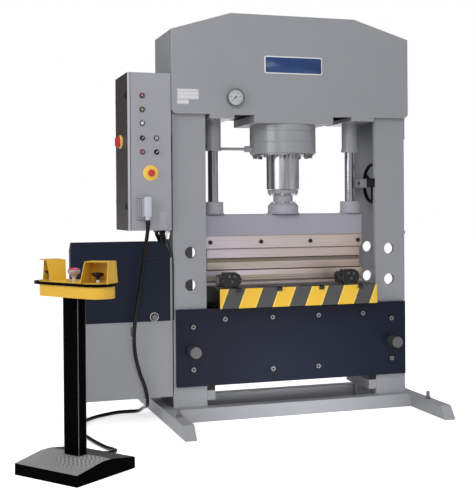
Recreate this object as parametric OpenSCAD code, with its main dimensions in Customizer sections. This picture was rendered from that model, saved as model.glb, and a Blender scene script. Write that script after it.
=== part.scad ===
/* [Frame] */
// Length of the table plates, which sets the frame's width
table_l = 1476; // [1200:1:1800]
// Width of each column plate
column_w = 201; // [120:1:300]
// Depth of a column over its two plates
column_d = 344; // [300:1:500]
// Thickness of a column plate
column_t = 30; // [15:1:40]
// Thickness of a head plate
head_t = 34; // [20:1:50]
// How far the head plates stand out beside the columns
head_lap = 12; // [8:1:30]
// Height of the underside of the head plates
head_z = 1800; // [1700:1:2000]
// Height of the top of the head
head_top_z = 2400; // [2310:1:2700]
// How far the head's shoulders lie below its top
shoulder_drop = 110; // [60:1:200]
// Width of the flat top of the head
head_flat_w = 796; // [400:1:1000]
// Cut corner under each end of the head plates
head_corner = 20; // [5:1:60]
// Thickness of the top cover
cover_t = 10; // [4:1:16]
// Height of the lower edge of the head's end plates
end_plate_z = 1672; // [1600:1:1780]
// Depth of the head's end plates
end_plate_d = 320; // [200:1:340]
// Bore of the pin holes in the columns
pin_hole_d = 70; // [40:1:90]
// Distance from the column's inner face to the pin holes
pin_inset = 95; // [60:1:120]
// Height of the lowest pin hole
pin_z = 410; // [330:1:450]
// Pitch of the pin holes
pin_pitch = 192; // [150:1:240]
// Number of pin holes in each column plate
pin_holes = 4; // [2:1:4]

/* [Base] */
// Length of each foot
foot_l = 1354; // [900:1:1800]
// Width of each foot
foot_w = 65; // [40:1:120]
// Height of each foot
foot_h = 75; // [40:1:100]
// Set-back of the slanted ends of a foot
foot_slant = 56; // [0:1:100]
// Depth of a crossbar
crossbar_d = 73; // [40:1:100]
// Height of a crossbar
crossbar_h = 79; // [40:1:100]
// Distance from the centre to the levelling screws
screw_y = 407; // [300:1:500]
// Diameter of a levelling screw
screw_d = 20; // [12:1:30]
// How far a levelling screw stands above its foot
screw_rise = 45; // [30:1:70]

/* [Table] */
// Gap between the table's end and the column's outer face
table_gap = 12; // [4:1:30]
// Height of the underside of the table plates
table_z = 201; // [120:1:260]
// Height of the table plates
table_h = 453; // [380:1:480]
// Thickness of a table plate
table_t = 30; // [20:1:40]
// Radial clearance of the table pins
pin_gap = 0.1; // [0.02:0.01:0.2]
// How far a table pin stands out in front
pin_front = 83; // [40:1:110]
// How far a table pin stands out at the rear
pin_rear = 14; // [5:1:60]
// Width of each side spacer between the table plates
spacer_w = 48; // [20:1:80]
// Diameter of the round spacers
spacer_d = 60; // [30:1:90]
// Head diameter of the table bolts
table_bolt_d = 28; // [18:1:36]
// Head height of the table bolts
table_bolt_h = 8; // [4:1:16]

/* [Die holder and tools] */
// How far each end of the die holder stays behind the tools
holder_inset = 13; // [4:1:40]
// Height of the die holder
holder_h = 121; // [80:1:160]
// Depth of the front block of the die holder
holder_front_d = 83; // [50:1:120]
// Half depth of the rear block of the die holder
holder_half_d = 210; // [204:1:260]
// Height of the die
die_h = 91; // [60:1:140]
// Depth of the die
die_d = 90; // [60:1:160]
// Depth of the groove along the die
die_groove = 30; // [12:1:40]
// Height of the punch body
punch_h = 131; // [90:1:180]
// Thickness of the punch's land over the die
punch_t = 64; // [40:1:84]
// Height of the tool holder
clamp_h = 80; // [50:1:120]
// Depth of the tool holder
clamp_d = 90; // [60:1:130]
// Spacing of the screws along the tool holder
clamp_pitch = 325; // [150:1:340]
// Vertical gap between the closed punch and the die
tool_gap = 1; // [0.5:0.1:10]

/* [Ram] */
// Gap between each end of the ram beam and the column
beam_gap = 34; // [28:1:60]
// Depth of the ram beam
beam_d = 90; // [60:1:160]
// Height of the ram beam
beam_h = 130; // [80:1:200]
// Distance from the column to each guide rod
guide_inset = 95; // [90:1:130]
// Diameter of a guide rod
guide_rod_d = 62; // [40:1:80]
// Outer diameter of a guide sleeve
sleeve_d = 98; // [80:1:120]
// Height of the lower end of a guide sleeve
sleeve_z = 1594; // [1560:1:1700]
// Diameter of a guide boss on the beam
boss_d = 124; // [90:1:140]
// Height of a guide boss
boss_h = 76; // [40:1:100]
// Width of a guide housing's plate
guide_plate_w = 150; // [120:1:180]
// Thickness of a guide housing's plate
guide_plate_t = 25; // [15:1:40]
// Diameter of the flange on the beam
flange_d = 190; // [150:1:260]
// Height of the flange on the beam
flange_h = 67; // [40:1:100]
// Diameter of the rod's neck
neck_d = 122; // [80:1:140]
// Throat of the welds round the flange and the bosses
weld_t = 9; // [3:1:12]
// Height of the bare neck between flange and collar
neck_h = 58; // [30:1:100]
// Height of the collar
collar_h = 23; // [14:1:60]

/* [Cylinder] */
// Diameter of the piston rod
rod_d = 203; // [150:1:240]
// Inner diameter of the barrel
bore_d = 270; // [260:1:290]
// Outer diameter of the barrel above the slab
barrel_d = 330; // [310:1:342]
// Outer diameter of the barrel's flange below the slab
drum_d = 410; // [370:1:470]
// Height of the barrel's flange
drum_h = 177; // [120:1:220]
// Free height between the barrel and the top of the head
barrel_room = 150; // [40:1:200]
// Length of the slab that carries the cylinder
slab_l = 508; // [480:1:560]
// Thickness of that slab
slab_t = 46; // [30:1:80]
// Thickness of the gland's flange
gland_t = 8; // [5:1:30]
// Diameter of the gland's flange
gland_d = 388; // [350:1:400]
// Number of screws in the gland
gland_screws = 16; // [6:1:20]
// Stroke of the ram
stroke = 180; // [60:1:250]
// Radial clearance of sliding fits
slide_gap = 0.05; // [0.02:0.01:0.1]

/* [Handwheel] */
// Outer diameter of the handwheel
wheel_d = 260; // [160:1:270]
// Diameter of the handwheel's rim section
rim_d = 22; // [12:1:30]
// Distance from the column's inner face to the handwheel
wheel_inset = 63; // [50:1:110]
// Height of the handwheel
wheel_z = 1397; // [1200:1:1500]
// Diameter of the handwheel's shaft
shaft_d = 24; // [16:1:36]
// Number of spokes
spokes = 3; // [3:1:5]

/* [Cabinet] */
// Width of the cabinet with its door
cabinet_w = 255; // [180:1:360]
// Depth of the cabinet
cabinet_d = 366; // [300:1:500]
// Height of the underside of the cabinet
cabinet_z = 1120; // [1100:1:1190]
// Height of the cabinet
cabinet_h = 910; // [880:1:1100]
// Front face of the cabinet
cabinet_front = -206; // [-240:1:-180]
// Gap between the column and the cabinet
cabinet_gap = 16; // [14:1:40]
// Thickness of the cabinet's walls
sheet_t = 3; // [1.5:0.1:5]
// Thickness of the door
door_t = 15; // [10:1:30]
// Diameter of the buttons' bezels
bezel_d = 30; // [24:1:40]
// Diameter of a button
button_d = 20; // [16:1:22]
// Travel of a button
button_travel = 4; // [2:0.5:5]
// Diameter of an emergency stop's head
estop_d = 40; // [32:1:60]
// Radial clearance of a button, lock or switch
button_gap = 0.3; // [0.2:0.05:0.5]

/* [Power unit] */
// Length of the power unit
unit_l = 585; // [400:1:700]
// Depth of the oil tank
unit_d = 330; // [280:1:600]
// Depth of the cover's folded edges
cover_d = 62; // [40:1:120]
// How far the cover's folded edges fall towards the rear
cover_fall = 44; // [10:1:80]
// Thickness of the cover's sheet
cover_sheet = 3; // [1.5:0.1:5]
// Front face of the power unit
unit_front = -165; // [-240:1:-100]
// Height of the underside of the oil tank
tank_z = 145; // [100:1:300]
// Height of the seam between tank and cover
tank_top_z = 590; // [400:1:700]
// Height of the top of the cover
unit_top_z = 1058; // [950:1:1090]
// Radius of the cover's rounded corner
unit_r = 100; // [20:1:160]
// Diameter of the motor on the tank
motor_d = 170; // [120:1:200]
// Height of the motor with its flange and fan cowl
motor_h = 380; // [300:1:400]
// Thickness of the tank's lid
lid_t = 8; // [4:1:16]

/* [Pedestal] */
// Side of the square base
base_side = 400; // [300:1:520]
// Height of the base at its edges
base_edge_h = 54; // [30:1:70]
// Height of the base at its crest
base_crest_h = 81; // [72:1:110]
// Depth of the pedestal's column
post_d = 54; // [40:1:80]
// Width of the pedestal's column
post_w = 96; // [60:1:140]
// Height of the underside of the control tray
tray_z = 835; // [700:1:950]
// Height of the control tray
tray_h = 56; // [40:1:100]
// Length of the control tray
tray_l = 452; // [440:1:640]
// Depth of the control tray
tray_d = 152; // [140:1:220]
// How far the rubber edge stands out round the tray
edge_lap = 9; // [4:1:20]
// Thickness of the rubber edge
edge_t = 13; // [4:1:16]
// Width of a button hood's roof
hood_w = 120; // [100:1:150]
// Depth of a button hood's roof
hood_d = 94; // [80:1:110]
// Height of a button hood
hood_h = 102; // [80:1:130]
// How far each side wall of a hood spreads towards its foot
hood_flare = 8; // [0:1:16]
// Distance from the middle to each palm button
palm_y = 165; // [130:1:180]
// How far a hood's middle lies beyond its palm button
hood_shift = 8; // [0:1:20]
// How far a hood's middle lies behind its palm button
hood_set = 13; // [0:1:20]
// Angle that each hood is turned outward
hood_turn = 23; // [0:1:30]
// Diameter of a palm button
palm_d = 59; // [40:1:64]

/* [Hidden] */
$fn = 64;
cut = 1;

// Frame: half widths and the faces of the plates
outer_x = table_l / 2 + table_gap;
inner_x = outer_x - column_w;
head_x = outer_x + head_lap;
face_y = column_d / 2;
head_y = face_y + head_t;
shoulder_z = head_top_z - shoulder_drop;
barrel_top_z = head_top_z - barrel_room;
pin_x = inner_x + pin_inset;
beam_l = 2 * (inner_x - beam_gap);
tool_l = beam_l;
holder_l = tool_l - 2 * holder_inset;
guide_x = inner_x - guide_inset;
wheel_x = inner_x + wheel_inset;
upright_top_z = shoulder_z - 2 * cover_t;
head_outline = [[-head_x, shoulder_z], [-head_flat_w / 2, head_top_z], [head_flat_w / 2, head_top_z],
    [head_x, shoulder_z]];

// Cylinder and ram, stacked upward from the floor
table_top_z = table_z + table_h;
holder_top_z = table_top_z + holder_h;
die_top_z = holder_top_z + die_h;
punch_z = die_top_z + tool_gap;
clamp_z = punch_z + punch_h;
beam_z = clamp_z + clamp_h;
beam_top_z = beam_z + beam_h;
neck_z = beam_top_z + flange_h;
collar_z = neck_z + neck_h;
rod_z = collar_z + collar_h;
slab_z = head_z - slab_t;
drum_z = slab_z - drum_h;
gland_z = drum_z - gland_t;
gland_spigot_h = 50;
piston_h = 90;
piston_z = drum_z + gland_spigot_h + 5;
gland_screw_d = 26;
gland_screw_h = 16;
gland_pcd = gland_d - gland_screw_d - 12;
collar_screw_d = 16;
collar_screw_h = 12;
collar_screws = 8;
flange_cut = 17;
flange_screw_d = 15;
flange_screw_h = 8;
guide_seat = 60;
barrel_cap_t = 45;
rod_top_z = piston_z + piston_h;
guide_rod_room = 140;
guide_rod_top_z = shoulder_z - guide_rod_room;
sleeve_lip = 4;

// Power unit and cabinet
bar_t = head_lap;
unit_x = -outer_x - bar_t;
unit_left = unit_x - unit_l;
valve_h = 170;
valve_top_z = tank_top_z + valve_h;
hatch_l = 160;
hatch_top_z = unit_top_z - unit_r + 2;
seat_gap = 0.3;
cabinet_x = -outer_x - cabinet_gap;
door_x = cabinet_x - cabinet_w + door_t;
cabinet_rear = cabinet_front + cabinet_d;
cabinet_top_z = cabinet_z + cabinet_h;
hinge_r = 7;
hinge_pin_r = 3.5;
hinge_l = 60;
hinge_x = door_x;
hinge_y = cabinet_rear + hinge_r + 2;
lock_y = cabinet_front + 46;
lock_r = 8;
switch_y = cabinet_front + 172;
switch_z = cabinet_z + 520;
switch_plate_r = 35;
switch_plate_t = 4;
switch_rise = 38;
control_left_x = cabinet_x - 170;
control_right_x = control_left_x + 83;
lamp_z = [cabinet_z + 777, cabinet_z + 697];
key_z = cabinet_z + 619;
row_z = cabinet_z + 533;
low_row_z = cabinet_z + 453;
estop_x = control_left_x + 48;
estop_z = cabinet_z + 332;
plug_x = cabinet_x - 150;
plug_w = 42;
plug_h = 116;
plug_z = cabinet_z + 78;
plug_top_z = plug_z + plug_h;
plug_d = 62;
plug_front = cabinet_front - plug_d;
plug_low_x = plug_x - plug_w / 2;
plug_high_x = plug_x + plug_w / 2;
socket_w = 60;
socket_x = plug_x - socket_w;
socket_t = 34;
bezel_t = 4;
seat_depth = 12;
estop_plate_d = 90;
estop_plate_t = 2;

// Handwheel bracket
bracket_t = 12;
bracket_h = 56;
bearing_x = inner_x - bracket_t - 17;
shaft_end = 1;

// Gauge
gauge_x = -378;
gauge_z = 1899;
gauge_r = 52;
gauge_d = 34;

// Pedestal
pedestal_x = -1456;
pedestal_y = -1061;
base_turn = 38;
tray_turn = 34;
post_flat = post_d / 2 + 3;
edge_z = tray_z + tray_h;
plate_z = edge_z + edge_t;
plate_t = 3;
tray_shift = -18;
edge_left_lap = 26;
palm_z = 947;
// The front edges of each hood's near and far side walls, as foot and top, forward of its roof
left_hood_edges = [[-15, 0], [-20, -24]];
right_hood_edges = [[37, 0], [37, 0]];
stem_r = 9;
gland_y = 18;
gland_h = 30;
gland_l = 46;
gland_stub_l = 14;
gland_stub_r = 12;
gland_hex_l = 16;
cord_r = 11;

// The cord's way down from the plug and under the tank, measured from the plug
cord_drop = [[0, -250, 1180], [0, -250, 1140], [-9, -251, 1070], [-27, -249, 950],
    [-44, -246, 830], [-61, -241, 715], [-75, -232, 610], [-80, -221, 500], [-70, -211, 400],
    [-44, -203, 300], [-16, -198, 225], [-1, -190, 165], [7, -160, 108], [11, -105, 85],
    [14, -40, 70], [14, 30, 46], [4, 92, 22], [-34, 138, 12]];
// Its way over the floor into the pedestal's base, measured from the pedestal
cord_floor = [[436, 1199, 12], [356, 1161, 12], [276, 1106, 12], [206, 1021, 12], [158, 901, 12],
    [140, 771, 12], [150, 641, 12], [170, 521, 12], [193, 421, 12], [213, 346, 13], [232, 283, 18],
    [235, 229, 24], [210, 187, 29], [183, 166, 30]];
cord_route = concat([for (p = cord_drop) p + [plug_x, 0, 0]],
    [for (p = cord_floor) p + [pedestal_x, pedestal_y, 0]]);
cord_sides = 8;
cord_steps = 2;

// A box between two opposite corners
module block(low, high) {
    translate(low) cube(high - low);
}

// A cylinder along X, Y or Z from a start point
module rod_x(start, length, r, facets = $fn) {
    translate(start) rotate([0, 90, 0]) cylinder(h = length, r = r, $fn = facets);
}

module rod_y(start, length, r, facets = $fn) {
    translate(start) rotate([-90, 0, 0]) cylinder(h = length, r = r, $fn = facets);
}

module rod_z(start, length, r, facets = $fn) {
    translate(start) cylinder(h = length, r = r, $fn = facets);
}

// An outline in the XZ plane, extruded along Y between two depths
module wall_xz(y_low, y_high) {
    translate([0, y_high, 0]) rotate([90, 0, 0]) linear_extrude(y_high - y_low) children();
}

// An outline in the YZ plane, extruded along X between two places
module bar_yz(x_low, x_high) {
    translate([x_low, 0, 0]) rotate([90, 0, 90]) linear_extrude(x_high - x_low) children();
}

// Both mirror images about the YZ plane
module both_sides() {
    for (side = [0, 1]) mirror([side, 0, 0]) children();
}

// Both mirror images about the XZ plane
module front_and_rear() {
    for (side = [0, 1]) mirror([0, side, 0]) children();
}

// A socket-head screw's head with its hexagon recess, axis along Z
module socket_head(d, h) {
    difference() {
        cylinder(h = h, d = d, $fn = 32);
        translate([0, 0, h / 2]) cylinder(h = h, d = d / 2, $fn = 6);
    }
}

// A smooth curve through a route's points, and its unit tangent at one of them
function unit(v) = v / norm(v);
function at(route, i) = route[min(max(i, 0), len(route) - 1)];
function spline(p0, p1, p2, p3, t) =
    0.5 * (2 * p1 + (p2 - p0) * t + (2 * p0 - 5 * p1 + 4 * p2 - p3) * t * t
        + (3 * p1 - p0 - 3 * p2 + p3) * t * t * t);
function smooth(route, steps) = [for (i = [0 : len(route) - 2]) for (s = [0 : steps - 1])
        spline(at(route, i - 1), at(route, i), at(route, i + 1), at(route, i + 2), s / steps),
    route[len(route) - 1]];
function tangent(path, i) = unit(at(path, i + 1) - at(path, i - 1));

// Frames carried along the curve without twist, so that a tube's sides stay straight
function carried(path, i, side) =
    let (t = tangent(path, i), flat = side - (side * t) * t) unit(flat);
function sides_along(path, i, side) =
    i == len(path) ? [] : let (here = carried(path, i, side)) concat([here], sides_along(path, i + 1, here));

// A round tube along the smooth curve through a route's points
module tube_along(route, r, sides, steps) {
    path = smooth(route, steps);
    across = sides_along(path, 0, [1, 0, 0]);
    turn = 360 / sides;
    rings = [for (i = [0 : len(path) - 1]) let (a = across[i], b = cross(tangent(path, i), a))
        for (k = [0 : sides - 1]) path[i] + r * (cos(k * turn) * a + sin(k * turn) * b)];
    last = (len(path) - 1) * sides;
    walls = [for (i = [0 : len(path) - 2]) for (k = [0 : sides - 1])
        let (a = i * sides + k, b = i * sides + (k + 1) % sides) [a, a + sides, b + sides, b]];
    polyhedron(rings, concat([[for (k = [0 : sides - 1]) k]], walls,
        [[for (k = [sides - 1 : -1 : 0]) last + k]]));
}

// ---- Welded frame ----

module foot() {
    front_y = foot_l / 2;
    difference() {
        bar_yz(outer_x, outer_x + foot_w)
            polygon([[-front_y, 0], [front_y, 0], [front_y - foot_slant, foot_h],
                [-front_y + foot_slant, foot_h]]);
        front_and_rear() rod_z([outer_x + foot_w / 2, screw_y, -cut], foot_h + 2 * cut, screw_d / 2);
    }
}

module base_frame() {
    color("silver") {
        both_sides() foot();
        front_and_rear() block([-outer_x, face_y, 0], [outer_x, face_y + crossbar_d, crossbar_h]);
    }
}

module upright() {
    difference() {
        block([inner_x, face_y - column_t, 0], [outer_x, face_y, upright_top_z]);
        for (i = [0 : pin_holes - 1])
            rod_y([pin_x, face_y - column_t - cut, pin_z + i * pin_pitch], column_t + 2 * cut,
                pin_hole_d / 2);
    }
}

module uprights() {
    color("silver") both_sides() front_and_rear() upright();
}

module head_plate() {
    wall_xz(face_y, head_y)
        polygon(concat([[head_x, head_z + head_corner], [head_x - head_corner, head_z],
            [-head_x + head_corner, head_z], [-head_x, head_z + head_corner]], head_outline));
}

module head_front_plate() {
    color("silver") mirror([0, 1, 0]) head_plate();
}

module head_rear_plate() {
    color("silver") head_plate();
}

// The end plates of the head and the three cover plates between its two plates
module head_covers() {
    seam = 0.2;
    color("silver") {
        both_sides() {
            block([outer_x, -end_plate_d / 2, end_plate_z],
                [head_x, end_plate_d / 2, shoulder_z - cover_t - 1]);
            wall_xz(-face_y, face_y) polygon([[head_flat_w / 2 + seam, head_top_z],
                [head_flat_w / 2 + seam, head_top_z - cover_t], [head_x, shoulder_z - cover_t],
                [head_x, shoulder_z]]);
        }
        block([-head_flat_w / 2, -face_y, head_top_z - cover_t], [head_flat_w / 2, face_y, head_top_z]);
    }
}

module cylinder_slab() {
    color("gray") difference() {
        block([-slab_l / 2, -head_y, slab_z], [slab_l / 2, head_y, head_z]);
        rod_z([0, 0, slab_z - cut], slab_t + 2 * cut, barrel_d / 2 + slide_gap);
    }
}

// A guide housing: the plate under the head with its sleeve and lip ring
module guide_housing() {
    lip_h = 18;
    difference() {
        union() {
            block([guide_x - guide_plate_w / 2, -head_y, head_z - guide_plate_t],
                [guide_x + guide_plate_w / 2, head_y, head_z]);
            rod_z([guide_x, 0, sleeve_z], head_z - sleeve_z, sleeve_d / 2);
            rod_z([guide_x, 0, sleeve_z], lip_h, sleeve_d / 2 + sleeve_lip);
        }
        rod_z([guide_x, 0, sleeve_z - cut], head_z - sleeve_z + 2 * cut, guide_rod_d / 2 + slide_gap);
    }
}

module guide_housings() {
    color("gray") both_sides() guide_housing();
}

// ---- Cylinder ----

// A turned barrel with its flange, two rolled lines round it and a closed top
module cylinder_barrel() {
    line_z = [drum_z + 69, drum_z + 134];
    line_h = 3;
    line_t = 2;
    color("gray") difference() {
        rotate_extrude($fn = 96) polygon([[bore_d / 2, drum_z], [drum_d / 2 - 3, drum_z],
            [drum_d / 2, drum_z + 3], [drum_d / 2, slab_z], [barrel_d / 2, slab_z],
            [barrel_d / 2, barrel_top_z], [0, barrel_top_z], [0, barrel_top_z - barrel_cap_t],
            [bore_d / 2, barrel_top_z - barrel_cap_t]]);
        for (z = line_z)
            rotate_extrude($fn = 96) translate([drum_d / 2 - line_t, z]) square([line_t + cut, line_h]);
    }
}

module cylinder_gland() {
    color("dimgray") rotate_extrude($fn = 96) polygon([[rod_d / 2 + slide_gap, gland_z],
        [gland_d / 2, gland_z], [gland_d / 2, drum_z], [bore_d / 2 - slide_gap, drum_z],
        [bore_d / 2 - slide_gap, drum_z + gland_spigot_h], [rod_d / 2 + slide_gap, drum_z + gland_spigot_h]]);
}

// The rod with its neck below and its piston above
module piston_rod() {
    groove = 4;
    groove_h = 8;
    color("gainsboro") rotate_extrude($fn = 96) polygon([[0, neck_z], [neck_d / 2, neck_z],
        [neck_d / 2, rod_z], [rod_d / 2 - 3, rod_z], [rod_d / 2, rod_z + 3], [rod_d / 2, piston_z],
        [bore_d / 2 - slide_gap, piston_z], [bore_d / 2 - slide_gap, piston_z + piston_h / 2 - groove_h / 2],
        [bore_d / 2 - groove, piston_z + piston_h / 2 - groove_h / 2],
        [bore_d / 2 - groove, piston_z + piston_h / 2 + groove_h / 2],
        [bore_d / 2 - slide_gap, piston_z + piston_h / 2 + groove_h / 2],
        [bore_d / 2 - slide_gap, rod_top_z], [0, rod_top_z]]);
}

module rod_collar() {
    color("gray") difference() {
        rod_z([0, 0, collar_z], collar_h, flange_d / 2);
        rod_z([0, 0, collar_z - cut], collar_h + 2 * cut, neck_d / 2 + slide_gap);
    }
}

// ---- Table ----

module table_plate() {
    difference() {
        block([-table_l / 2, face_y, table_z], [table_l / 2, face_y + table_t, table_top_z]);
        both_sides() rod_y([pin_x, face_y - cut, pin_z], table_t + 2 * cut, pin_hole_d / 2);
    }
}

module table_front_plate() {
    color("midnightblue") mirror([0, 1, 0]) table_plate();
}

module table_rear_plate() {
    color("midnightblue") table_plate();
}

// Places of the bolts through the table, as X and Z
table_bolt_places = [[inner_x - 104, table_top_z - 64], [149, table_top_z - 64], [146, table_z + 79]];
end_bolt_places = [[pin_x - 4, pin_z + 141], [pin_x - 4, pin_z - 109]];

module table_spacers() {
    spacer_z = 111;
    spacer_top_z = 600;
    color("dimgray") both_sides() {
        block([inner_x - spacer_w - 1, -face_y, spacer_z], [inner_x - 1, face_y, spacer_top_z]);
        for (p = table_bolt_places)
            if (p[0] + spacer_d / 2 < inner_x - spacer_w - 1)
                rod_y([p[0], -face_y, p[1]], column_d, spacer_d / 2);
    }
}

module table_pins() {
    bevel = 4;
    r = pin_hole_d / 2 - pin_gap;
    length = column_d + 2 * table_t + pin_front + pin_rear;
    color("dimgray") both_sides()
        translate([pin_x, -face_y - table_t - pin_front, pin_z]) rotate([-90, 0, 0])
            rotate_extrude() polygon([[0, 0], [r - bevel, 0], [r, bevel], [r, length - bevel],
                [r - bevel, length], [0, length]]);
}

// Levelling screws with their nuts, the table's bolts and the gland's screws
module frame_fasteners() {
    nut_h = 16;
    screw_x = outer_x + foot_w / 2;
    edge_bolt_z = 1085;
    color("silver") {
        both_sides() front_and_rear() {
            rod_z([screw_x, screw_y, 1], foot_h + screw_rise - 1, screw_d / 2 - slide_gap, 32);
            difference() {
                rod_z([screw_x, screw_y, foot_h], nut_h, screw_d * 0.8, 6);
                rod_z([screw_x, screw_y, foot_h - cut], nut_h + 2 * cut, screw_d / 2 - slide_gap, 32);
            }
        }
        both_sides() front_and_rear()
            for (p = concat(table_bolt_places, end_bolt_places))
                translate([p[0], face_y + table_t, p[1]]) rotate([-90, 0, 0])
                    socket_head(table_bolt_d, table_bolt_h);
        for (i = [0 : gland_screws - 1])
            rotate([0, 0, (i + 0.5) * 360 / gland_screws]) translate([gland_pcd / 2, 0, gland_z])
                mirror([0, 0, 1]) socket_head(gland_screw_d, gland_screw_h);
        rod_x([outer_x, -face_y + 12, edge_bolt_z], 6, 12, 6);
    }
}

// ---- Die holder and tools ----

module die_holder() {
    seam = 0.4;
    front_y = -holder_half_d - holder_front_d;
    slot = 14;
    color("dimgray") {
        difference() {
            block([-holder_l / 2, front_y, table_top_z + 2],
                [holder_l / 2, -holder_half_d - seam, holder_top_z]);
            block([-holder_l / 2 - cut, stop_y - slot / 2, holder_top_z - slot],
                [holder_l / 2 + cut, stop_y + slot / 2, holder_top_z + cut]);
        }
        block([-holder_l / 2, -holder_half_d, table_top_z], [holder_l / 2, holder_half_d, holder_top_z]);
    }
}

// The die's section: a grooved top, a waist and a foot
module die() {
    half = die_d / 2;
    waist = 8;
    z = holder_top_z;
    color("tan") bar_yz(-tool_l / 2, tool_l / 2) polygon([[-half, z], [half, z], [half, z + 14],
        [half - waist, z + 18], [half - waist, z + 27], [half, z + 31], [half, die_top_z],
        [die_groove, die_top_z], [0, die_top_z - die_groove], [-die_groove, die_top_z],
        [-half, die_top_z], [-half, z + 31], [-half + waist, z + 27], [-half + waist, z + 18],
        [-half, z + 14]]);
}

// Finger clamp that hooks over the front edge of the die holder
module finger_clamp(x) {
    w = 30;
    front_y = -holder_half_d - holder_front_d;
    wall_x = [x - w / 2, x + w / 2];
    bar_yz(wall_x[0], wall_x[1]) polygon([[front_y, holder_top_z - 22], [front_y - 10, holder_top_z - 20],
        [front_y - 14, holder_top_z - 6], [front_y - 4, holder_top_z + 8], [front_y + 34, holder_top_z + 5],
        [front_y + 34, holder_top_z], [front_y, holder_top_z]]);
}

// Places of the side stops along the die holder, and the sizes of their castings and knobs
stop_x = [-holder_l / 2 + 87, holder_l / 2 - 158];
finger_inset = 114;
finger_middle_x = 134;
stop_y = -holder_half_d - 23;
stop_axis_z = holder_top_z + 46;
stop_body_l = 107;
stop_body_d = 56;
stop_body_h = 94;
knob_r = 36;
knob_l = 32;
knob_stem_r = 8;

// A side stop: a foot on the holder and a casting that falls away to a nose, with three screws
module side_stop(x) {
    foot_l = 84;
    foot_d = 44;
    foot_t = 12;
    bore_l = 40;
    screw_d = 16;
    screw_h = 7;
    left = x - stop_body_l / 2;
    right = x + stop_body_l / 2;
    z = holder_top_z;
    top = z + stop_body_h;
    screw_places = [[left + 34, z + 70], [left + 68, z + 68], [left + 52, z + 38]];
    difference() {
        union() {
            block([x - foot_l / 2, stop_y - foot_d / 2, z],
                [x + foot_l / 2, stop_y + foot_d / 2, z + foot_t]);
            wall_xz(stop_y - stop_body_d / 2, stop_y + stop_body_d / 2)
                polygon([[left, z + 16], [left, top - 6], [left + 6, top], [right - 34, top],
                    [right - 10, top - 14], [right, top - 36], [right, z + 34], [right - 12, z + 14],
                    [x + 28, z + foot_t - 1], [x - 36, z + foot_t - 1]]);
        }
        rod_x([left - cut, stop_y, stop_axis_z], bore_l + cut, knob_stem_r + slide_gap);
    }
    for (p = screw_places)
        translate([p[0], stop_y - stop_body_d / 2, p[1]]) rotate([90, 0, 0]) socket_head(screw_d, screw_h);
}

module holder_clamps() {
    color("#222222") {
        for (side = [-1, 1]) {
            finger_clamp(side * finger_middle_x);
            finger_clamp(side * (holder_l / 2 - finger_inset));
        }
        for (x = stop_x) side_stop(x);
    }
}

// A ribbed clamp knob on a short stem, at the left end of a side stop
module stop_knob(x) {
    gap = 2;
    stem_l = 30;
    flutes = 10;
    flute_r = 7;
    face_x = x - stop_body_l / 2 - gap;
    color("#1c1c1c") {
        difference() {
            rod_x([face_x - knob_l, stop_y, stop_axis_z], knob_l, knob_r);
            for (i = [0 : flutes - 1])
                translate([0, stop_y, stop_axis_z]) rotate([i * 360 / flutes, 0, 0])
                    rod_x([face_x - knob_l - cut, knob_r + 3, 0], knob_l + 2 * cut, flute_r, 24);
        }
        rod_x([face_x, stop_y, stop_axis_z], stem_l, knob_stem_r);
    }
}

module stop_knob_left() {
    stop_knob(stop_x[0]);
}

module stop_knob_right() {
    stop_knob(stop_x[1]);
}

// ---- Ram ----

// The beam with its welded flange and guide bosses
module ram_beam() {
    chamfer = 8;
    boss_cut = 5;
    half = beam_d / 2;
    color("silver") difference() {
        union() {
            bar_yz(-beam_l / 2, beam_l / 2) polygon([[-half, beam_z], [half, beam_z],
                [half, beam_top_z - chamfer], [half - chamfer, beam_top_z],
                [-half + chamfer, beam_top_z], [-half, beam_top_z - chamfer]]);
            rotate_extrude($fn = 96) polygon([[0, beam_top_z - cut],
                [flange_d / 2 + weld_t, beam_top_z - cut], [flange_d / 2 + weld_t, beam_top_z + 1],
                [flange_d / 2, beam_top_z + weld_t], [flange_d / 2, neck_z - flange_cut],
                [flange_d / 2 - flange_cut, neck_z], [0, neck_z]]);
            both_sides() translate([guide_x, 0, 0]) rotate_extrude() polygon([[0, beam_top_z - cut],
                [boss_d / 2, beam_top_z - cut], [boss_d / 2, beam_top_z + boss_h - boss_cut],
                [boss_d / 2 - boss_cut, beam_top_z + boss_h], [0, beam_top_z + boss_h]]);
            both_sides() intersection() {
                translate([guide_x, 0, beam_top_z]) cylinder(h = weld_t, r1 = boss_d / 2 + weld_t,
                    r2 = boss_d / 2);
                block([0, -boss_d, beam_top_z], [beam_l / 2, boss_d, beam_top_z + weld_t]);
            }
        }
        both_sides()
            rod_z([guide_x, 0, beam_top_z - guide_seat], guide_seat + boss_h + cut,
                guide_rod_d / 2 + slide_gap);
    }
}

module guide_rods() {
    bevel = 3;
    r = guide_rod_d / 2;
    low = beam_top_z - guide_seat;
    color("gainsboro") both_sides() translate([guide_x, 0, 0]) rotate_extrude()
        polygon([[0, low], [r, low], [r, guide_rod_top_z - bevel], [r - bevel, guide_rod_top_z],
            [0, guide_rod_top_z]]);
}

module tool_holder() {
    half = clamp_d / 2;
    slot = 10;
    slot_h = 24;
    color("darkgray") bar_yz(-tool_l / 2, tool_l / 2) polygon([[-half, clamp_z], [-slot, clamp_z],
        [-slot, clamp_z + slot_h], [slot, clamp_z + slot_h], [slot, clamp_z], [half, clamp_z],
        [half, beam_z - 4], [half - 4, beam_z], [-half + 4, beam_z], [-half, beam_z - 4]]);
}

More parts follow.
